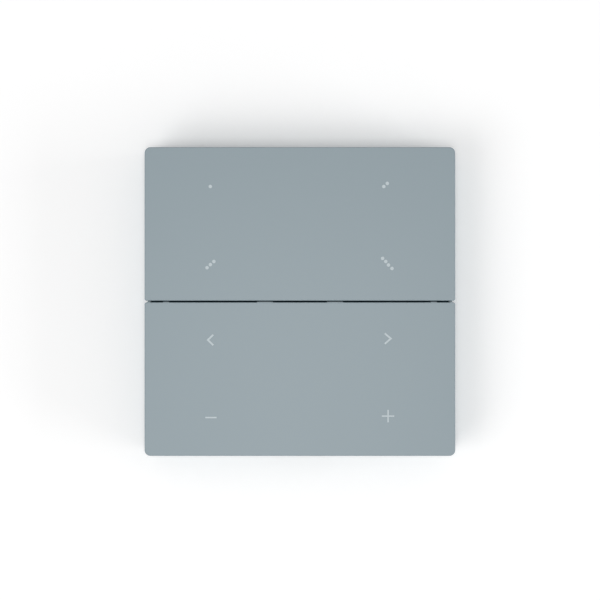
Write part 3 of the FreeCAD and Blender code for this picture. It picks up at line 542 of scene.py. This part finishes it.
def new_piece(name: str, shape: BMesh, finish: Finish) -> Object:
    """Makes an object from a closed shape in metres.

    Args:
        name: The piece's name.
        shape: The shape, which is used up.
        finish: The finish for all its faces.

    Returns:
        The object, with its faces outwards.
    """
    bmesh.ops.recalc_face_normals(shape, faces=shape.faces)
    mesh = bpy.data.meshes.new(name)
    shape.to_mesh(mesh)
    shape.free()
    mesh.materials.append(finish.material())
    return new_object(name, mesh)


def soften(piece: Object, below: float) -> None:
    """Shades a piece smooth where its faces meet at less than an angle in degrees."""
    piece.data.shade_smooth()
    piece.data.set_sharp_from_angle(angle=math.radians(below))


def apply_modifiers(piece: Object) -> None:
    """Makes what a piece's modifiers give its own plain mesh.

    Args:
        piece: The piece, which loses its modifiers.
    """
    depsgraph = bpy.context.evaluated_depsgraph_get()
    piece.data = bpy.data.meshes.new_from_object(piece.evaluated_get(depsgraph), depsgraph=depsgraph)
    piece.data.name = piece.name
    piece.modifiers.clear()


def ride(piece: Object, body: Body) -> None:
    """Puts a finished piece on its body and reports it.

    Args:
        piece: The piece, with its place in its mesh.
        body: The body it moves with.
    """
    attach(piece, body.value)
    LOG.info("%s rides on %s, %d faces", piece.name, body.value, len(piece.data.polygons))


def polar(radius: float, turn: float) -> Point:
    """Gives the point at a radius from the middle, at a turn in degrees from +X."""
    return radius * math.cos(math.radians(turn)), radius * math.sin(math.radians(turn))


def round_outline(radii: Sequence[float], centre: Point = (0.0, 0.0)) -> list[Point]:
    """Gives the corners of a round outline.

    Args:
        radii: How far each corner is from the centre, in even turns from +X.
        centre: The outline's middle.

    Returns:
        The corners, anticlockwise.
    """
    turns = [2 * math.pi * i / len(radii) for i in range(len(radii))]
    return [(centre[0] + r * math.cos(t), centre[1] + r * math.sin(t)) for r, t in zip(radii, turns)]


def arc_outline(radius: float, start: float, stop: float, width: float, steps: int) -> list[Point]:
    """Gives the outline of a stroke that runs round the middle.

    Args:
        radius: The radius of its middle line.
        start: The turn at which it starts, in degrees from +X.
        stop: The turn at which it stops, further anticlockwise.
        width: The stroke's width.
        steps: How many straight runs make it up.

    Returns:
        The outline's corners, anticlockwise.
    """
    turns = [start + (stop - start) * i / steps for i in range(steps + 1)]
    outer = [polar(radius + width / 2, turn) for turn in turns]
    inner = [polar(radius - width / 2, turn) for turn in turns]
    return outer + inner[::-1]


def stroke_outline(path: Sequence[Point], width: float) -> list[Point]:
    """Gives the outline of a stroke of even width along a path, with mitred bends and square ends.

    Args:
        path: The points of the stroke's middle line.
        width: The stroke's width.

    Returns:
        The outline's corners, anticlockwise.
    """
    points = [Vector(p) for p in path]
    ways = [(b - a).normalized() for a, b in zip(points, points[1:])]
    left, right = [], []
    for i, point in enumerate(points):
        before, after = ways[max(i - 1, 0)], ways[min(i, len(ways) - 1)]
        along = (before + after).normalized()
        across = Vector((-along.y, along.x))
        reach = width / 2 / across.dot(Vector((-after.y, after.x)))
        left.append(tuple(point + across * reach))
        right.append(tuple(point - across * reach))
    return right + left[::-1]


def plus_outline(centre: Point, reach: float, width: float) -> list[Point]:
    """Gives the outline of an upright plus sign.

    Args:
        centre: Its middle.
        reach: How far each arm reaches from there.
        width: The arms' width.

    Returns:
        The outline's twelve corners, anticlockwise.
    """
    half = width / 2
    arm = [(half, reach), (-half, reach), (-half, half)]
    corners: list[Point] = []
    for _ in range(4):
        corners += arm
        arm = [(-y, x) for x, y in arm]
    return [(centre[0] + x, centre[1] + y) for x, y in corners]


def level(shape: BMesh, outline: Sequence[Point], height: float) -> list[BMVert]:
    """Adds an outline's corners to a shape at one height."""
    return [shape.verts.new(Vector((x, y, height)) * MM) for x, y in outline]


def band(shape: BMesh, lower: Sequence[BMVert], upper: Sequence[BMVert]) -> None:
    """Joins two levels with a band of faces.

    Args:
        shape: The shape that both are in.
        lower: The corners of one level.
        upper: As many corners of the other, or a single one where the shape closes, on either level.
    """
    for i in range(max(len(lower), len(upper))):
        near = [lower[i % len(lower)], lower[(i + 1) % len(lower)]]
        far = [upper[(i + 1) % len(upper)], upper[i % len(upper)]]
        shape.faces.new(list(dict.fromkeys(near + far)))


def lathe(shape: BMesh, profile: Sequence[Point], sides: int) -> None:
    """Turns a profile round the upright axis into a closed skin.

    Args:
        shape: The shape that gets the skin.
        profile: Radius and height of each ring, from one end to the other, with a radius of 0 at both.
        sides: How many sides the round has.
    """
    levels = [level(shape, round_outline([radius] * (sides if radius else 1)), z) for radius, z in profile]
    for lower, upper in zip(levels, levels[1:]):
        band(shape, lower, upper)


def raised(shape: BMesh, outline: Sequence[Point], low: float, high: float, taper: float = 1.0) -> None:
    """Adds a closed block with an outline of its own.

    Args:
        shape: The shape that gets the block.
        outline: The corners of its underside, anticlockwise.
        low: The height of its underside.
        high: The height of its top.
        taper: The size of its top, shrunk towards the origin, as a share of its underside.
    """
    under = level(shape, outline, low)
    over = level(shape, [(x * taper, y * taper) for x, y in outline], high)
    shape.faces.new(over)
    shape.faces.new(under[::-1])
    band(shape, under, over)


def start_tree(name: str, sizes: dict[str, str]) -> tuple[NodeTree, Node]:
    """Starts a Geometry Nodes tree that takes a mesh of points, named sizes and a finish.

    Args:
        name: The tree's name.
        sizes: The kind of each named size, such as Float.

    Returns:
        The tree and its input node.
    """
    tree = bpy.data.node_groups.new(name, "GeometryNodeTree")
    for label, kind in {"Points": "Geometry", **sizes, "Finish": "Material"}.items():
        tree.interface.new_socket(label, in_out="INPUT", socket_type=f"NodeSocket{kind}")
    tree.interface.new_socket("Pieces", in_out="OUTPUT", socket_type="NodeSocketGeometry")
    return tree, add_node(tree, "NodeGroupInput")


def end_tree(
    tree: NodeTree, start: Node, original: NodeSocket, placing: dict[str, NodeSocket] | None = None
) -> NodeTree:
    """Ends a tree by putting a copy on every point, making the copies real and finishing them.

    Args:
        tree: The tree.
        start: Its input node.
        original: The socket that gives what is copied.
        placing: The sockets that turn and size each copy, by what they set.

    Returns:
        The same tree.
    """
    given = start.outputs
    copied = {"Points": given["Points"], "Instance": original, **(placing or {})}
    copies = add_node(tree, "GeometryNodeInstanceOnPoints", copied).outputs["Instances"]
    real = add_node(tree, "GeometryNodeRealizeInstances", {"Geometry": copies}).outputs["Geometry"]
    dressed = add_node(tree, "GeometryNodeSetMaterial", {"Geometry": real, "Material": given["Finish"]})
    add_node(tree, "NodeGroupOutput", {"Pieces": dressed.outputs["Geometry"]})
    return tree


@cache
def copies_tree() -> NodeTree:
    """Makes, once, the tree that puts a copy of one object on every point, turned as the point says.

    Returns:
        The tree, whose inputs are the Original, its Size and the Finish.
    """
    tree, start = start_tree("copies_on_points", {"Original": "Object", "Size": "Float"})
    given = start.outputs
    original = add_node(tree, "GeometryNodeObjectInfo", {"Object": given["Original"]}).outputs["Geometry"]
    turn = add_node(tree, "GeometryNodeInputNamedAttribute", {"Name": "turn"}, data_type="FLOAT")
    spin = add_node(tree, "ShaderNodeCombineXYZ", {"Z": turn.outputs["Attribute"]}).outputs["Vector"]
    return end_tree(tree, start, original, {"Rotation": spin, "Scale": given["Size"]})


def grow(
    name: str,
    points: Sequence[tuple[float, float, float]],
    tree: NodeTree,
    values: dict[str, Any],
    turns: Sequence[float] = (),
) -> Object:
    """Runs a Geometry Nodes tree on loose points and keeps the result as a plain mesh.

    Args:
        name: The piece's name.
        points: The points in millimetres.
        tree: The tree.
        values: What its named inputs are set to.
        turns: The turn about Z of the copy on each point, in degrees, where the tree uses it.

    Returns:
        The piece, without a modifier.
    """
    seed = bpy.data.meshes.new(name + "_points")
    seed.from_pydata([Vector(p) * MM for p in points], [], [])
    if turns:
        stored = seed.attributes.new("turn", "FLOAT", "POINT")
        stored.data.foreach_set("value", [math.radians(t) for t in turns])
    piece = new_object(name, seed)
    modifier = piece.modifiers.new("grow", "NODES")
    modifier.node_group = tree
    for item in tree.interface.items_tree:
        if item.in_out == "INPUT" and item.name in values:
            modifier[item.identifier] = values[item.name]
    apply_modifiers(piece)
    return piece


@dataclass
class FrontPanels:
    """The two tilting panels, with dots on the upper one and line signs on the lower one."""

    face: float = heights("upper_panel")[1]
    ink_height: float = 0.01
    dot_diameter: float = 0.9
    dot_sides: int = 32
    dots: tuple[Point, ...] = (
        (-23.06, 29.6),
        (21.6, 29.6), (22.5, 30.4),
        (-23.9, 8.7), (-23.05, 9.5), (-22.15, 10.3),
        (21.3, 11.1), (22.1, 10.3), (22.8, 9.4), (23.7, 8.5),
    )
    angle_stroke: float = 0.46
    line_stroke: float = 0.37
    left_angle: tuple[Point, ...] = ((-22.3, -8.55), (-23.7, -9.9), (-22.3, -11.25))
    right_angle: tuple[Point, ...] = ((21.85, -8.2), (23.4, -9.55), (21.85, -10.9))
    minus: tuple[Point, ...] = ((-24.35, -29.87), (-21.45, -29.87))
    plus_centre: Point = (22.7, -29.5)
    plus_reach: float = 1.6

    def dots_tree(self) -> NodeTree:
        """Makes the tree that prints a round dot on every point.

        Returns:
            The tree, whose inputs are the Diameter, the Height, the Sides and the Finish.
        """
        tree, start = start_tree("printed_dots", {"Diameter": "Float", "Height": "Float", "Sides": "Int"})
        given = start.outputs
        halved = add_node(tree, "ShaderNodeMath", {0: given["Diameter"], 1: 0.5}, operation="MULTIPLY")
        sizes = {"Vertices": given["Sides"], "Radius": halved.outputs[0], "Depth": given["Height"]}
        disc = add_node(tree, "GeometryNodeMeshCylinder", sizes)
        return end_tree(tree, start, disc.outputs["Mesh"])

    def print_dots(self) -> Object:
        """Prints the upper panel's dots, half sunk so that they stand proud by the ink's height.

        Returns:
            One piece with all the dots.
        """
        values = {
            "Diameter": self.dot_diameter * MM,
            "Height": 2 * self.ink_height * MM,
            "Sides": self.dot_sides,
            "Finish": SYMBOL_INK.material(),
        }
        return grow("dot_prints", [(x, y, self.face) for x, y in self.dots], self.dots_tree(), values)

    def print_lines(self) -> Object:
        """Prints the lower panel's angles, minus and plus.

        Returns:
            One piece with all four.
        """
        shape = bmesh.new()
        outlines = [
            stroke_outline(self.left_angle, self.angle_stroke),
            stroke_outline(self.right_angle, self.angle_stroke),
            stroke_outline(self.minus, self.line_stroke),
            plus_outline(self.plus_centre, self.plus_reach, self.line_stroke),
        ]
        for outline in outlines:
            raised(shape, outline, self.face - self.ink_height, self.face + self.ink_height)
        return new_piece("line_prints", shape, SYMBOL_INK)

    def build(self) -> None:
        """Dresses both panels and prints their signs."""
        dress_nodes({"upper_panel": PANEL_PLASTIC, "lower_panel": PANEL_PLASTIC})
        ride(self.print_dots(), Body.UPPER_FRONT)
        ride(self.print_lines(), Body.LOWER_FRONT)


@dataclass
class TiltMechanism:
    """The frames under the panels, the yokes they tip on and the rubber mats that push back."""

    def build(self) -> None:
        """Dresses the mechanism's solids."""
        for side in ("upper", "lower"):
            dress_nodes({f"{side}_key_frame": BLACK_PLASTIC, f"{side}_yoke": ACETAL})
            dress_nodes({f"{side}_keymat": SILICONE})
        # The carrier's dark slate colour is painted shade for the gap between the panels
        dress_nodes({"carrier": GAP_SHADE_DECK_PLASTIC})


@dataclass
class Housing:
    """The rear tray with its magnets and the two screws that hold the carrier in it."""

    screw_places: tuple[Point, ...] = ((-31.8, 31.55), (31.8, -31.55))
    screw_turns: tuple[float, ...] = (20.0, 65.0)
    head_low: float = 2.6
    head_high: float = 3.9
    head_radius: float = 2.1
    head_round: float = 0.35
    core_radius: float = 0.68
    crest_radius: float = 0.9
    tip: float = 9.0
    tip_share: float = 0.25
    point_length: float = 0.8
    thread_pitch: float = 0.8
    thread_steps: int = 10
    thread_width: float = 0.4
    sides: int = 24
    smooth_below: float = 40.0
    recess_reach: float = 1.2
    recess_width: float = 0.5
    recess_depth: float = 0.7
    recess_start: float = 0.2
    recess_taper: float = 0.55

    def shank_radii(self, step: int, height: float) -> list[float]:
        """Gives the shank's radius all round at one step along the thread.

        Args:
            step: The step, counted from the head.
            height: The step's height.

        Returns:
            The radii, in even turns from +X.
        """
        slim = max(min(1.0, (self.tip - height) / self.point_length), self.tip_share)
        radii = []
        for i in range(self.sides):
            phase = (step / self.thread_steps - i / self.sides) % 1.0
            ridge = max(0.0, 1.0 - abs(phase - 0.5) / (self.thread_width / 2))
            radii.append((self.core_radius + (self.crest_radius - self.core_radius) * ridge) * slim)
        return radii

    def screw_shape(self) -> BMesh:
        """Makes one screw with its axis at the origin and its head down.

        Returns:
            The closed shape, with a thread on the shank.
        """
        shape = bmesh.new()
        edge = self.head_round
        profile = [
            (0, self.head_low),
            (self.head_radius - edge, self.head_low),
            (self.head_radius - edge * ROUND_SHARE, self.head_low + edge * ROUND_SHARE),
            (self.head_radius, self.head_low + edge),
            (self.head_radius, self.head_high),
            (0, self.head_high),
        ]
        lathe(shape, profile, self.sides)
        length = self.tip - self.head_high
        count = int(length / self.thread_pitch * self.thread_steps)
        steps = [(step, self.head_high + length * step / count) for step in range(count + 1)]
        levels = [level(shape, round_outline(self.shank_radii(step, z)), z) for step, z in steps]
        for lower, upper in zip(levels, levels[1:]):
            band(shape, lower, upper)
        shape.faces.new(levels[0])
        shape.faces.new(levels[-1])
        return shape

    def cross_shape(self) -> BMesh:
        """Makes the cross that is cut out of a screw's head, narrower at its bottom.

        Returns:
            The shape of its two crossing blocks.
        """
        shape = bmesh.new()
        low, high = self.head_low - self.recess_start, self.head_low + self.recess_depth
        arm, half = self.recess_reach, self.recess_width / 2
        for x, y in ((arm, half), (half, arm)):
            raised(shape, [(-x, -y), (x, -y), (x, y), (-x, y)], low, high, self.recess_taper)
        return shape

    def screws(self) -> Object:
        """Makes both screws in their places.

        Returns:
            One piece with a cross-headed screw at each place.
        """
        screw = new_piece("screw_original", self.screw_shape(), SCREW_STEEL)
        cutter = new_piece("screw_recess", self.cross_shape(), SCREW_STEEL)
        cut = screw.modifiers.new("recess", "BOOLEAN")
        cut.operation, cut.solver, cut.object, cut.use_self = "DIFFERENCE", "EXACT", cutter, True
        apply_modifiers(screw)
        values = {"Original": screw, "Size": 1.0, "Finish": SCREW_STEEL.material()}
        points = [(x, y, 0.0) for x, y in self.screw_places]
        placed = grow("cross_head_screws", points, copies_tree(), values, self.screw_turns)
        bpy.data.objects.remove(screw)
        bpy.data.objects.remove(cutter)
        soften(placed, self.smooth_below)
        return placed

    def build(self) -> None:
        """Dresses the tray and the magnets, and puts real screws in place of their plain solids."""
        dress_nodes({"rear_housing": HOUSING_PLASTIC, "magnets": NICKEL_PLATE})
        screws = self.screws()
        ride(screws, Body.REMOTE)
        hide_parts("housing_screws")


@dataclass
class Electronics:
    """The circuit board with its radio, chips, small parts and the contact pads under the mats."""

    board_top: float = heights("circuit_board")[1]
    board_bottom: float = heights("circuit_board")[0]
    press_across: float = 22.6
    press_along: float = 10.12
    panel_middle: float = 19.98
    finger_count: int = 7
    finger_pitch: float = 0.6
    finger_width: float = 0.3
    finger_length: float = 3.6
    copper_height: float = 0.035
    small_bodies: tuple[Span, ...] = ((-0.5, 0.5),)
    small_ends: tuple[Span, ...] = ((-0.8, -0.5), (0.5, 0.8))
    small_width: float = 0.8
    small_height: float = 0.5
    small_round: float = 0.05
    small_columns: tuple[float, ...] = (-29.0, -25.5, 25.5, 29.0)
    small_rows: tuple[float, ...] = (-14.0, -10.0, -5.5, -1.5, 3.0, 7.5, 12.0)
    small_turns: tuple[float, ...] = (0.0, 0.0, 90.0)

    def fingers_tree(self) -> NodeTree:
        """Makes the tree that lays a comb of bare contact fingers on every point.

        Returns:
            The tree, whose inputs are the comb's Count and Pitch, the size of a Finger and the Finish.
        """
        tree, start = start_tree("contact_combs", {"Count": "Int", "Pitch": "Float", "Finger": "Vector"})
        given = start.outputs
        gaps = add_node(tree, "ShaderNodeMath", {0: given["Count"], 1: 1.0}, operation="SUBTRACT").outputs[0]
        span = add_node(tree, "ShaderNodeMath", {0: gaps, 1: given["Pitch"]}, operation="MULTIPLY").outputs[0]
        begin = add_node(tree, "ShaderNodeMath", {0: span, 1: -0.5}, operation="MULTIPLY").outputs[0]
        first = add_node(tree, "ShaderNodeCombineXYZ", {"X": begin}).outputs["Vector"]
        step = add_node(tree, "ShaderNodeCombineXYZ", {"X": given["Pitch"]}).outputs["Vector"]
        line = {"Count": given["Count"], "Start Location": first, "Offset": step}
        row = add_node(tree, "GeometryNodeMeshLine", line).outputs["Mesh"]
        finger = add_node(tree, "GeometryNodeMeshCube", {"Size": given["Finger"]}).outputs["Mesh"]
        comb = add_node(tree, "GeometryNodeInstanceOnPoints", {"Points": row, "Instance": finger})
        return end_tree(tree, start, comb.outputs["Instances"])

    def combs(self) -> Object:
        """Lays a comb under every dome.

        Returns:
            One piece with all the combs.
        """
        points = [
            (self.press_across * i, self.panel_middle * k + self.press_along * j, self.board_top)
            for k in (1, -1)
            for i in (-1, 1)
            for j in (-1, 1)
        ]
        values = {
            "Count": self.finger_count,
            "Pitch": self.finger_pitch * MM,
            "Finger": (self.finger_width * MM, self.finger_length * MM, 2 * self.copper_height * MM),
            "Finish": SPRING_METAL.material(),
        }
        return grow("contact_combs", points, self.fingers_tree(), values)

    def small_parts(self, name: str, spans: Sequence[Span], finish: Finish) -> Object:
        """Solders rows of small resistors and capacitors on the board's underside.

        Args:
            name: The piece's name.
            spans: Where the blocks of one part that have this finish start and end along it.
            finish: The finish.

        Returns:
            One piece with these blocks of every small part.
        """
        shape = bmesh.new()
        half = self.small_width / 2
        for first, last in spans:
            block = [(first, -half), (last, -half), (last, half), (first, half)]
            raised(shape, block, -self.small_height, 0.0)
        bmesh.ops.bevel(shape, geom=shape.edges[:], offset=self.small_round * MM, segments=2, affect="EDGES")
        original = new_piece(name + "_original", shape, finish)
        points = [(x, y, self.board_bottom) for x in self.small_columns for y in self.small_rows]
        turns = [self.small_turns[i % len(self.small_turns)] for i in range(len(points))]
        values = {"Original": original, "Size": 1.0, "Finish": finish.material()}
        placed = grow(name, points, copies_tree(), values, turns)
        bpy.data.objects.remove(original)
        return placed

    def build(self) -> None:
        """Dresses the board's solids and adds what is too small for them."""
        dress_nodes({"circuit_board": LAMINATE, "radio_module": LAMINATE})
        dress_nodes({"radio_shield": TIN_PLATE, "control_chips": CHIP_RESIN})
        ride(self.combs(), Body.REMOTE)
        bodies = self.small_parts("small_part_bodies", self.small_bodies, CHIP_RESIN)
        ride(bodies, Body.REMOTE)
        ends = self.small_parts("small_part_ends", self.small_ends, TIN_PLATE)
        ride(ends, Body.REMOTE)


@dataclass
class BatteryBay:
    """The coin cell with its holder and contacts, and the cover with its turning marks."""

    cell_low: float = heights("coin_cell")[0]
    cell_high: float = heights("coin_cell")[1]
    cell_radius: float = 10.0
    cap_radius: float = 8.9
    cap_rise: float = 0.2
    cap_edge: float = 0.1
    edge: float = 0.35
    crimp_width: float = 0.2
    crimp_depth: float = 0.15
    sides: int = 96
    smooth_below: float = 35.0
    mark_height: float = 0.01
    mark_reach: float = 2.2
    mark_stroke: float = 0.5
    cover_back: float = heights("battery_cover")[0]
    floor_back: float = 2.1
    ink_height: float = 0.015
    stroke: float = 0.4
    arrow_place: float = 10.0
    arrow_size: float = 1.7
    plus_centre: Point = (0.0, 5.4)
    plus_reach: float = 1.3
    turn_place: float = 16.2
    turn_radius: float = 0.85
    locked_turn: float = 270.0
    open_turn: float = 305.0
    way_place: float = 18.6
    way_head: float = 4.5
    arc_steps: int = 28

    def cell(self) -> Object:
        """Makes the cell: a can with a crimped edge round its smaller cap.

        Returns:
            The cell.
        """
        shoulder = self.cell_high - self.cap_rise
        turned_in = self.cell_radius - self.edge
        eased = self.edge * ROUND_SHARE
        profile = [
            (0, self.cell_low),
            (turned_in, self.cell_low),
            (self.cell_radius - eased, self.cell_low + eased),
            (self.cell_radius, self.cell_low + self.edge),
            (self.cell_radius, shoulder - self.edge),
            (self.cell_radius - eased, shoulder - eased),
            (turned_in, shoulder),
            (self.cap_radius + self.crimp_width, shoulder),
            (self.cap_radius + self.crimp_width / 2, shoulder - self.crimp_depth),
            (self.cap_radius, shoulder - self.crimp_depth),
            (self.cap_radius, self.cell_high - self.cap_edge),
            (self.cap_radius - self.cap_edge, self.cell_high),
            (0, self.cell_high),
        ]
        shape = bmesh.new()
        lathe(shape, profile, self.sides)
        piece = new_piece("crimped_coin_cell", shape, CELL_CAN)
        soften(piece, self.smooth_below)
        return piece

    def cell_mark(self) -> Object:
        """Marks the plus on the side of the can that faces the cover.

        Returns:
            The plus.
        """
        shape = bmesh.new()
        plus = plus_outline((0.0, 0.0), self.mark_reach, self.mark_stroke)
        raised(shape, plus, self.cell_low - self.mark_height, self.cell_low + self.mark_height)
        return new_piece("cell_mark", shape, LASER_MARK)

    def floor_marks(self) -> Object:
        """Prints a dot for locked, a ring for open and the way to turn on the back of the housing's floor.

        Returns:
            One piece with all three.
        """
        shape = bmesh.new()
        low, high = self.floor_back - self.ink_height, self.floor_back + self.ink_height
        wide, narrow = [[r] * self.arc_steps for r in (self.turn_radius, self.turn_radius - self.stroke)]
        raised(shape, round_outline(wide, polar(self.turn_place, self.locked_turn)), low, high)
        outer, inner = [round_outline(r, polar(self.turn_place, self.open_turn)) for r in (wide, narrow)]
        skins = ((outer, low), (outer, high), (inner, high), (inner, low))
        levels = [level(shape, outline, z) for outline, z in skins]
        for lower, upper in zip(levels, levels[1:] + levels[:1]):
            band(shape, lower, upper)
        neck, flare = self.open_turn - self.way_head, 2 * self.stroke
        way = arc_outline(self.way_place, self.locked_turn, neck, self.stroke, self.arc_steps)
        raised(shape, way, low, high)
        wings = [polar(self.way_place - flare, neck), polar(self.way_place + flare, neck)]
        raised(shape, wings + [polar(self.way_place, self.open_turn)], low, high)
        return new_piece("turning_marks", shape, SYMBOL_INK)

    def cover_marks(self) -> Object:
        """Prints the arrow that points at one of the floor's marks, and the plus of the cell's near side.

        Returns:
            One piece with both.
        """
        shape = bmesh.new()
        low, high = self.cover_back - self.ink_height, self.cover_back + self.ink_height
        half = self.arrow_size / 2
        wings = half - self.arrow_place
        raised(shape, [(-half, wings), (0.0, -half - self.arrow_place), (half, wings)], low, high)
        raised(shape, plus_outline(self.plus_centre, self.plus_reach, self.stroke), low, high)
        return new_piece("cover_marks", shape, SYMBOL_INK)

    def build(self) -> None:
        """Dresses the bay's solids, puts a crimped cell in place of the plain one and adds the marks."""
        dress_nodes({"battery_cover": HOUSING_PLASTIC, "battery_holder": BLACK_PLASTIC})
        dress_nodes({"side_contact": SPRING_METAL, "cap_contact": SPRING_METAL})
        cell = self.cell()
        ride(cell, Body.REMOTE)
        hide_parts("coin_cell")
        ride(self.cell_mark(), Body.REMOTE)
        ride(self.floor_marks(), Body.REMOTE)
        ride(self.cover_marks(), Body.COVER)


@dataclass
class WallMount:
    """The steel plate on the wall and the foam tape behind it."""

    def build(self) -> None:
        """Dresses the plate and the tape."""
        dress_nodes({"wall_plate": ZINC_PLATE, "mounting_tape": FOAM})


@dataclass(frozen=True)
class Softbox:
    """A soft lamp that faces the middle of the remote.

    Its share is how bright it alone makes a white floor, where 1 is white. Its turn is counted from +X
    towards +Y and its height from the floor, both in degrees. A lamp that stands low isn't mirrored, because
    seen from across, its image would cover the panels with plain white.
    """

    name: str
    share: float
    turn: float
    height: float
    distance: float
    width: float
    depth: float
    mirrored: bool = True

    def hang(self) -> None:
        """Makes the lamp and hangs it in its place."""
        lamp = bpy.data.lights.new(self.name, "AREA")
        lamp.shape = "RECTANGLE"
        lamp.size, lamp.size_y = self.width * MM, self.depth * MM
        turn, height = math.radians(self.turn), math.radians(self.height)
        lamp.energy = self.share * (math.pi * self.distance * MM) ** 2 / math.sin(height)
        way = Vector((math.cos(turn) * math.cos(height), math.sin(turn) * math.cos(height), math.sin(height)))
        softbox = new_object(self.name, lamp)
        softbox.location = way * self.distance * MM
        softbox.rotation_euler = way.to_track_quat("Z", "Y").to_euler()
        softbox.visible_glossy = self.mirrored


@dataclass
class Studio:
    """The pale floor, the soft light and the camera straight above the face."""

    face: float = heights("upper_panel")[1]
    lens: float = 135.0
    sensor: float = 36.0
    camera_height: float = 579.2
    camera_place: Point = (0.026, 0.386)
    floor_reach: float = 4000.0
    floor_drop: float = 0.02
    fade_start: float = 115.0
    fade_end: float = 330.0
    floor_paint: float = 0.9
    floor_seen: float = 1.136
    ambient: float = 0.445
    softboxes: tuple[Softbox, ...] = (
        Softbox("overhead_softbox", 0.2, 268.0, 86.4, 1000.0, 250.0, 300.0),
        Softbox("key_softbox", 0.208, 210.0, 45.0, 1000.0, 700.0, 700.0),
        Softbox("low_softbox", 0.106, 350.0, 15.0, 1000.0, 800.0, 400.0, mirrored=False),
    )

    def paint(self) -> Material:
        """Makes the floor's matt white paint.

        The camera sees it as overexposed as the photograph's floor, shadow and all. Further out it fades to
        plain white, so that low views have no grey horizon.

        Returns:
            The material.
        """
        material = bpy.data.materials.new("painted_floor")
        tree = empty_tree(material)
        seen = add_node(tree, "ShaderNodeLightPath").outputs["Is Camera Ray"]
        ends = {"Value": seen, "To Min": self.floor_paint, "To Max": self.floor_seen}
        paint = add_node(tree, "ShaderNodeMapRange", ends).outputs["Result"]
        matt = add_node(tree, "ShaderNodeBsdfDiffuse", {"Color": paint}).outputs["BSDF"]
        white = add_node(tree, "ShaderNodeEmission", {"Color": linear(WHITE), "Strength": 1.0})
        place = add_node(tree, "ShaderNodeTexCoord").outputs["Object"]
        way_out = add_node(tree, "ShaderNodeVectorMath", {0: place}, operation="LENGTH").outputs["Value"]
        ends = {"Value": way_out, "From Min": self.fade_start * MM, "From Max": self.fade_end * MM}
        fade = add_node(tree, "ShaderNodeMapRange", ends, interpolation_type="SMOOTHSTEP").outputs["Result"]
        share = add_node(tree, "ShaderNodeMath", {0: fade, 1: seen}, operation="MULTIPLY").outputs[0]
        blend = add_node(tree, "ShaderNodeMixShader", {0: share, 1: matt, 2: white.outputs["Emission"]})
        add_node(tree, "ShaderNodeOutputMaterial", {"Surface": blend.outputs["Shader"]})
        return material

    def floor(self) -> None:
        """Lays the floor as one wide face just under the tape."""
        shape = bmesh.new()
        reach = self.floor_reach
        corners = [(-reach, -reach), (reach, -reach), (reach, reach), (-reach, reach)]
        shape.faces.new(level(shape, corners, -self.floor_drop))
        mesh = bpy.data.meshes.new("floor")
        shape.to_mesh(mesh)
        shape.free()
        mesh.materials.append(self.paint())
        new_object("floor", mesh)

    def surroundings(self) -> None:
        """Sets the even light from all sides, which shows as white behind the object and in its gloss."""
        world = bpy.data.worlds.new("studio")
        tree = empty_tree(world)
        seen = add_node(tree, "ShaderNodeLightPath").outputs
        shown = seen["Is Camera Ray"]
        for ray in ("Is Glossy Ray", "Is Transmission Ray"):
            shown = add_node(tree, "ShaderNodeMath", {0: shown, 1: seen[ray]}, operation="MAXIMUM").outputs[0]
        ends = {"Value": shown, "To Min": self.ambient, "To Max": 1.0}
        strength = add_node(tree, "ShaderNodeMapRange", ends).outputs["Result"]
        light = add_node(tree, "ShaderNodeBackground", {"Color": linear(WHITE), "Strength": strength})
        add_node(tree, "ShaderNodeOutputWorld", {"Surface": light.outputs["Background"]})
        bpy.context.scene.world = world

    def camera(self) -> None:
        """Sets the camera straight above, where the photograph was taken from."""
        lens = bpy.data.cameras.new("camera")
        lens.lens, lens.sensor_width = self.lens, self.sensor
        camera = new_object("camera", lens)
        camera.location = Vector((*self.camera_place, self.face + self.camera_height)) * MM
        bpy.context.scene.camera = camera

    def build(self) -> None:
        """Sets up the floor, the light and the camera."""
        self.floor()
        self.surroundings()
        for softbox in self.softboxes:
            softbox.hang()
        self.camera()
        bpy.context.scene.view_settings.view_transform = "Standard"
        LOG.info("studio is set")


def main() -> None:
    """Builds every sub-assembly in turn, then the studio."""
    logging.basicConfig(level=logging.INFO, format="%(name)s: %(message)s")
    for assembly in (
        FrontPanels(), TiltMechanism(), Housing(), Electronics(), BatteryBay(), WallMount(), Studio()
    ):
        assembly.build()
        LOG.info("%s is done", type(assembly).__name__)


if __name__ == "__main__":
    main()
